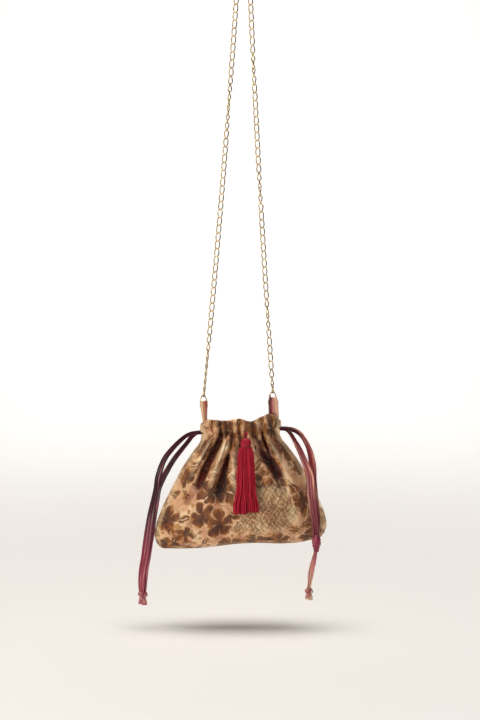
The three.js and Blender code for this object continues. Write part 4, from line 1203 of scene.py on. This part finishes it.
down, around = np.meshgrid(
    np.linspace(0, 1, HEAD_ROWS), np.linspace(0, 2 * np.pi, HEAD_COLUMNS, endpoint=False), indexing="ij")
reach = np.interp(down, [0, 0.04, 0.12, 0.3, 0.55, 0.8, 1], [0.2, 0.42, 0.66, 0.92, 1.0, 0.94, 0.84])
groove = 1 + 0.035 * np.cos(GROOVES * around + 0.8 * np.sin(5 * down))
head_points = np.stack([
    HEAD_SIZE[0] / 2 * reach * groove * np.cos(around), HEAD_SIZE[1] / 2 * reach * groove * np.sin(around),
    HEAD_SIZE[2] * (down - 0.5)], axis=-1)
head_faces = grid_faces(HEAD_ROWS, HEAD_COLUMNS, wrap=True)
head_faces.append(tuple(range(HEAD_COLUMNS)))
head_faces.append(tuple(reversed(range((HEAD_ROWS - 1) * HEAD_COLUMNS, HEAD_ROWS * HEAD_COLUMNS))))
head = mesh_object("tassel_head_threads", in_tassel(head_points, head_middle).reshape(-1, 3), head_faces)
# Painted shade: the head is darker in its grooves and lighter on the ridges between them.
painted_groove_shade = 0.5 + 0.42 * np.cos(GROOVES * around)
thread_values(head, painted_groove_shade.ravel(), (HEAD_SIZE[2] * down).ravel(), around.ravel())
finish_piece(head, "tassel", "tassel_thread", thread_material, "tassel_head")

BINDING_TURNS = 4
turn = np.linspace(0, 2 * np.pi * BINDING_TURNS, 240)
binding_middle = (binding_low + binding_high) / 2
binding_line = in_tassel(np.column_stack([
    6.2 * np.cos(turn), 6.2 * 0.62 * np.sin(turn), np.linspace(-1.2, 1.2, 240)]), binding_middle)
binding_points, binding_faces = tube(binding_line, oval(1.2, 1.2, 8), tassel_down)
binding = mesh_object("tassel_binding_thread", binding_points, binding_faces)
ROUND_A_THREAD = np.arange(8) * 0.8
thread_values(binding, np.full(len(binding_points), 0.25), np.repeat(turn * 6, 8), np.tile(ROUND_A_THREAD, 240))
finish_piece(binding, "tassel", "tassel_thread", thread_material, "tassel_binding")

loop_top = np.array([TASSEL_X, loop_high[1], loop_high[2] - 0.7])
loop_foot = np.array([TASSEL_X, loop_low[1] + 1.2, loop_low[2] + 0.4])
loop_line = smooth_path([
    loop_foot - (1.3, 0, 0), (loop_top + loop_foot) / 2 - (1.5, 0, -0.6), loop_top - (0.9, 0, 0),
    loop_top + (0.9, 0, 0), (loop_top + loop_foot) / 2 + (1.5, 0, 0.6), loop_foot + (1.3, 0, 0)], 60)
loop_points, loop_faces = tube(loop_line, oval(1.4, 1.4, 8), (0, -1.0, 0.6))
loop = mesh_object("tassel_loop_cord", loop_points, loop_faces)
down_loop = np.repeat(np.arange(60) * 0.4, 8)
thread_values(loop, np.full(len(loop_points), 0.55), down_loop, np.tile(ROUND_A_THREAD, 60))
finish_piece(loop, "tassel", "tassel_thread", thread_material, "tassel_loop")

# %% [markdown]
# Each thread of the skirt is a line from the binding to its cut end, with a small wave
# of its own. A Geometry Nodes tree turns the lines into round threads.

# %% Skirt of threads
thread_tree, given, output = node_tree(
    "threads_from_lines", ("Thread Radius", "NodeSocketFloat"), ("Sides", "NodeSocketInt"),
    ("Thread", "NodeSocketMaterial"))
lines = add_node(thread_tree, "GeometryNodeMeshToCurve", {0: given["Geometry"]})
circle = add_node(thread_tree, "GeometryNodeCurvePrimitiveCircle", {
    "Resolution": given["Sides"], "Radius": given["Thread Radius"]})
swept = add_node(thread_tree, "GeometryNodeCurveToMesh", {
    0: lines.outputs[0], 1: circle.outputs[0], "Fill Caps": True})
close_tree(thread_tree, swept.outputs[0], given["Thread"], output)

skirt_start = head_middle + tassel_down * (HEAD_SIZE[2] / 2 + 1.2)
skirt_length = np.linalg.norm(skirt_foot - skirt_start)
share = np.linspace(0, 1, THREAD_POINTS)
skirt_points = []
skirt_edges = []
skirt_values = []
for number in range(THREADS):
    angle = 2.399963 * number
    radius = math.sqrt((number + 0.5) / THREADS)
    start = np.array([math.cos(angle), math.sin(angle)]) * radius
    bunch = -1 if start[0] + rng.normal(0, 0.14) < 0.04 else 1
    end = start * 0.84 + rng.normal(0, 0.07, 2)
    top = start * np.array([SKIRT_TOP_WIDTH, SKIRT_TOP_WIDTH * TASSEL_FLATNESS]) / 2 * 0.96
    foot = end * np.array([SKIRT_BOTTOM_WIDTH, SKIRT_BOTTOM_WIDTH * TASSEL_FLATNESS]) / 2
    flare = np.interp(share, [0, 0.12, 0.5, 0.8, 1], [0, 0.36, 0.64, 0.84, 1])[:, None]
    across = top + (foot - top) * flare
    across[:, 0] += bunch * 2.2 * smoothstep(share, 0.68, 1.0)
    wave = rng.uniform(0.3, 0.9) * np.sin(share * rng.uniform(8, 17) + rng.uniform(0, 6.3))
    across[:, 0] += wave * smoothstep(share, 0.02, 0.3)
    across[:, 1] += 0.5 * rng.uniform(-1, 1) * np.sin(share * 7 + number)
    length = skirt_length * (1 - abs(rng.normal(0, 0.022)) - (0.02 if bunch > 0 else 0)) - 0.4
    local = np.column_stack([across[:, 0], across[:, 1], share * length])
    first = len(skirt_points)
    skirt_points.extend(in_tassel(local, skirt_start).tolist())
    skirt_edges.extend([(first + i, first + i + 1) for i in range(THREAD_POINTS - 1)])
    # Each thread has a random tone, plus painted shade that makes threads darker towards the middle of the
    # skirt.
    shade = np.clip(0.25 + 0.5 * radius + rng.uniform(-0.25, 0.25), 0, 1)
    skirt_values.extend([(shade, d, number) for d in share * length])
skirt = mesh_object("tassel_skirt_threads", skirt_points, [])
skirt.data.edges.add(len(skirt_edges))
skirt.data.edges.foreach_set("vertices", np.array(skirt_edges).ravel())
skirt.data.update()
store(skirt, "thread", skirt_values)
grow(skirt, thread_tree, Thread_Radius=THREAD_DIAMETER / 2 * MM, Sides=6, Thread=thread_material)
finish_piece(skirt, "tassel", "tassel_thread", None, "tassel_skirt")

# %% [markdown]
# The pouch hangs in front of a sweep of pale paper that runs from floor to wall without
# an edge. The paper is lit, so it takes a soft shadow, and it also glows a little where
# the camera sees it, which keeps the background as pale as in the photo. From behind it
# is clear, so that the back of the pouch can be looked at too.

# %% Paper sweep
FLOOR_Z = -787
SWEEP_BACK = 2600
SWEEP_RADIUS = 900
SWEEP_HALF_WIDTH = 4000
SWEEP_TOP = 3000
FLOOR_GLOW = 0.07
WALL_GLOW = 0.74
CORNER_DIM = 0.3


def paper():
    """Matt paper that takes a shadow near the pouch and glows towards the camera further back, with painted
    shade that dims the glow towards the corners.
    """
    material, tree, shader = new_material("paper_sweep_matt", Roughness=0.95, Specular_IOR_Level=0.1)
    place = add_node(tree, "ShaderNodeTexCoord").outputs["Object"]
    clouds = add_node(tree, "ShaderNodeTexNoise", {"Vector": place, "Scale": 0.8, "Detail": 1})
    tint = add_node(tree, "ShaderNodeValToRGB", {0: clouds}, [(0.2, "#f1eeeb"), (0.8, "#f5f2ef")])
    tree.links.new(tint.outputs[0], shader.inputs["Base Color"])
    rays = add_node(tree, "ShaderNodeLightPath").outputs
    mirrored = add_node(tree, "ShaderNodeMath", {0: rays["Is Camera Ray"], 1: rays["Is Glossy Ray"]},
                        operation="ADD")
    looks = add_node(tree, "ShaderNodeMath", {0: mirrored, 1: rays["Is Transmission Ray"]}, operation="ADD")
    seen = add_node(tree, "ShaderNodeMath", {0: looks, 1: 1.0}, operation="MINIMUM")
    axes = add_node(tree, "ShaderNodeSeparateXYZ", {0: place}).outputs
    floor_place = add_node(tree, "ShaderNodeVectorMath", {0: place, 1: (1, 1, 0)}, operation="MULTIPLY")
    away = add_node(tree, "ShaderNodeVectorMath", {0: floor_place}, operation="LENGTH")
    back = add_node(tree, "ShaderNodeMapRange", {0: away, 1: 0.2, 2: 2.1}, **EASED)
    aside = add_node(tree, "ShaderNodeMath", {0: axes["X"], 1: 0.62}, operation="DIVIDE")
    raised = add_node(tree, "ShaderNodeMath", {0: axes["Z"], 1: 0.35}, operation="ADD")
    above = add_node(tree, "ShaderNodeMath", {0: raised, 1: 1.1}, operation="DIVIDE")
    aside_squared = add_node(tree, "ShaderNodeMath", {0: aside, 1: aside}, operation="MULTIPLY")
    above_squared = add_node(tree, "ShaderNodeMath", {0: above, 1: above}, operation="MULTIPLY")
    far = add_node(tree, "ShaderNodeMath", {0: aside_squared, 1: above_squared}, operation="ADD")
    # Painted shade: the glow fades towards the sides and the top, so the paper is darker in the corners of the
    # frame.
    corner = add_node(tree, "ShaderNodeMapRange", {0: far, 1: 0.35, 2: 1.3}, **EASED)
    dimmed = add_node(tree, "ShaderNodeMath", {0: corner, 1: -CORNER_DIM, 2: 1.0}, operation="MULTIPLY_ADD")
    glow = add_node(tree, "ShaderNodeMath", {0: back, 1: WALL_GLOW - FLOOR_GLOW, 2: FLOOR_GLOW},
                    operation="MULTIPLY_ADD")
    glow = add_node(tree, "ShaderNodeMath", {0: glow, 1: dimmed}, operation="MULTIPLY")
    strength = add_node(tree, "ShaderNodeMath", {0: seen, 1: glow}, operation="MULTIPLY")
    shader.inputs["Emission Color"].default_value = linear("#fffdfb")
    tree.links.new(strength.outputs[0], shader.inputs["Emission Strength"])
    behind = add_node(tree, "ShaderNodeNewGeometry").outputs["Backfacing"]
    clear = add_node(tree, "ShaderNodeBsdfTransparent").outputs[0]
    sided = add_node(tree, "ShaderNodeMixShader", {0: behind, 1: shader.outputs[0], 2: clear})
    tree.links.new(sided.outputs[0], tree.nodes["Material Output"].inputs["Surface"])
    return material


bend = np.linspace(0, math.pi / 2, 17)
profile = [(-3500, FLOOR_Z)]
for a in bend:
    profile.append((SWEEP_BACK - SWEEP_RADIUS * (1 - math.sin(a)), FLOOR_Z + SWEEP_RADIUS * (1 - math.cos(a))))
profile.append((SWEEP_BACK, SWEEP_TOP))
sweep_points = [(x, y, z) for y, z in profile for x in (-SWEEP_HALF_WIDTH, SWEEP_HALF_WIDTH)]
sweep = mesh_object("paper_sweep", sweep_points, grid_faces(len(profile), 2))
sweep.data.materials.append(paper())
print("sweep", len(profile), "bends")

# %% [markdown]
# Three lights: a wide soft box overhead, which makes the soft oval shadow, a key from the
# front left at the pouch's own height, which rakes across the folds and leaves the floor
# alone, and a weak fill from the right.

# %% Soft studio light
def soft_box(name, place, target, size, power, colour="#ffffff"):
    """A rectangular area light that looks at a target. Sizes in millimetres and power in watts."""
    data = bpy.data.lights.new(name, "AREA")
    data.shape = "RECTANGLE"
    data.size = size[0] * MM
    data.size_y = size[1] * MM
    data.energy = power
    data.color = linear(colour)[:3]
    light = bpy.data.objects.new(name, data)
    light.location = Vector(place) * MM
    look = (Vector(target) - Vector(place)).normalized()
    light.rotation_euler = look.to_track_quat("-Z", "Y").to_euler()
    bpy.context.collection.objects.link(light)
    return light


POUCH_MIDDLE = (-4, 0, -620)
AIR_LIGHT = 0.06
AIR_SEEN = 0.9
soft_box("overhead_soft_box", (0, -60, 1000), (0, 0, -787), (1500, 950), 29, "#fffcf9")
soft_box("key_soft_box", (-1400, -1600, -560), POUCH_MIDDLE, (500, 500), 23, "#fff4e6")
soft_box("fill_soft_box", (1700, -2000, -600), POUCH_MIDDLE, (1000, 1000), 3.5)
world = bpy.data.worlds.new("studio_air")
bpy.context.scene.world = world
world.use_nodes = True
world.node_tree.nodes["Background"].inputs["Color"].default_value = linear("#fdfbf9")
air_rays = add_node(world.node_tree, "ShaderNodeLightPath").outputs
air_light = add_node(
    world.node_tree, "ShaderNodeMath",
    {0: air_rays["Is Camera Ray"], 1: AIR_SEEN - AIR_LIGHT, 2: AIR_LIGHT}, operation="MULTIPLY_ADD")
world.node_tree.links.new(air_light.outputs[0], world.node_tree.nodes["Background"].inputs["Strength"])
bpy.context.scene.view_settings.view_transform = "Standard"
print("lights", 3)
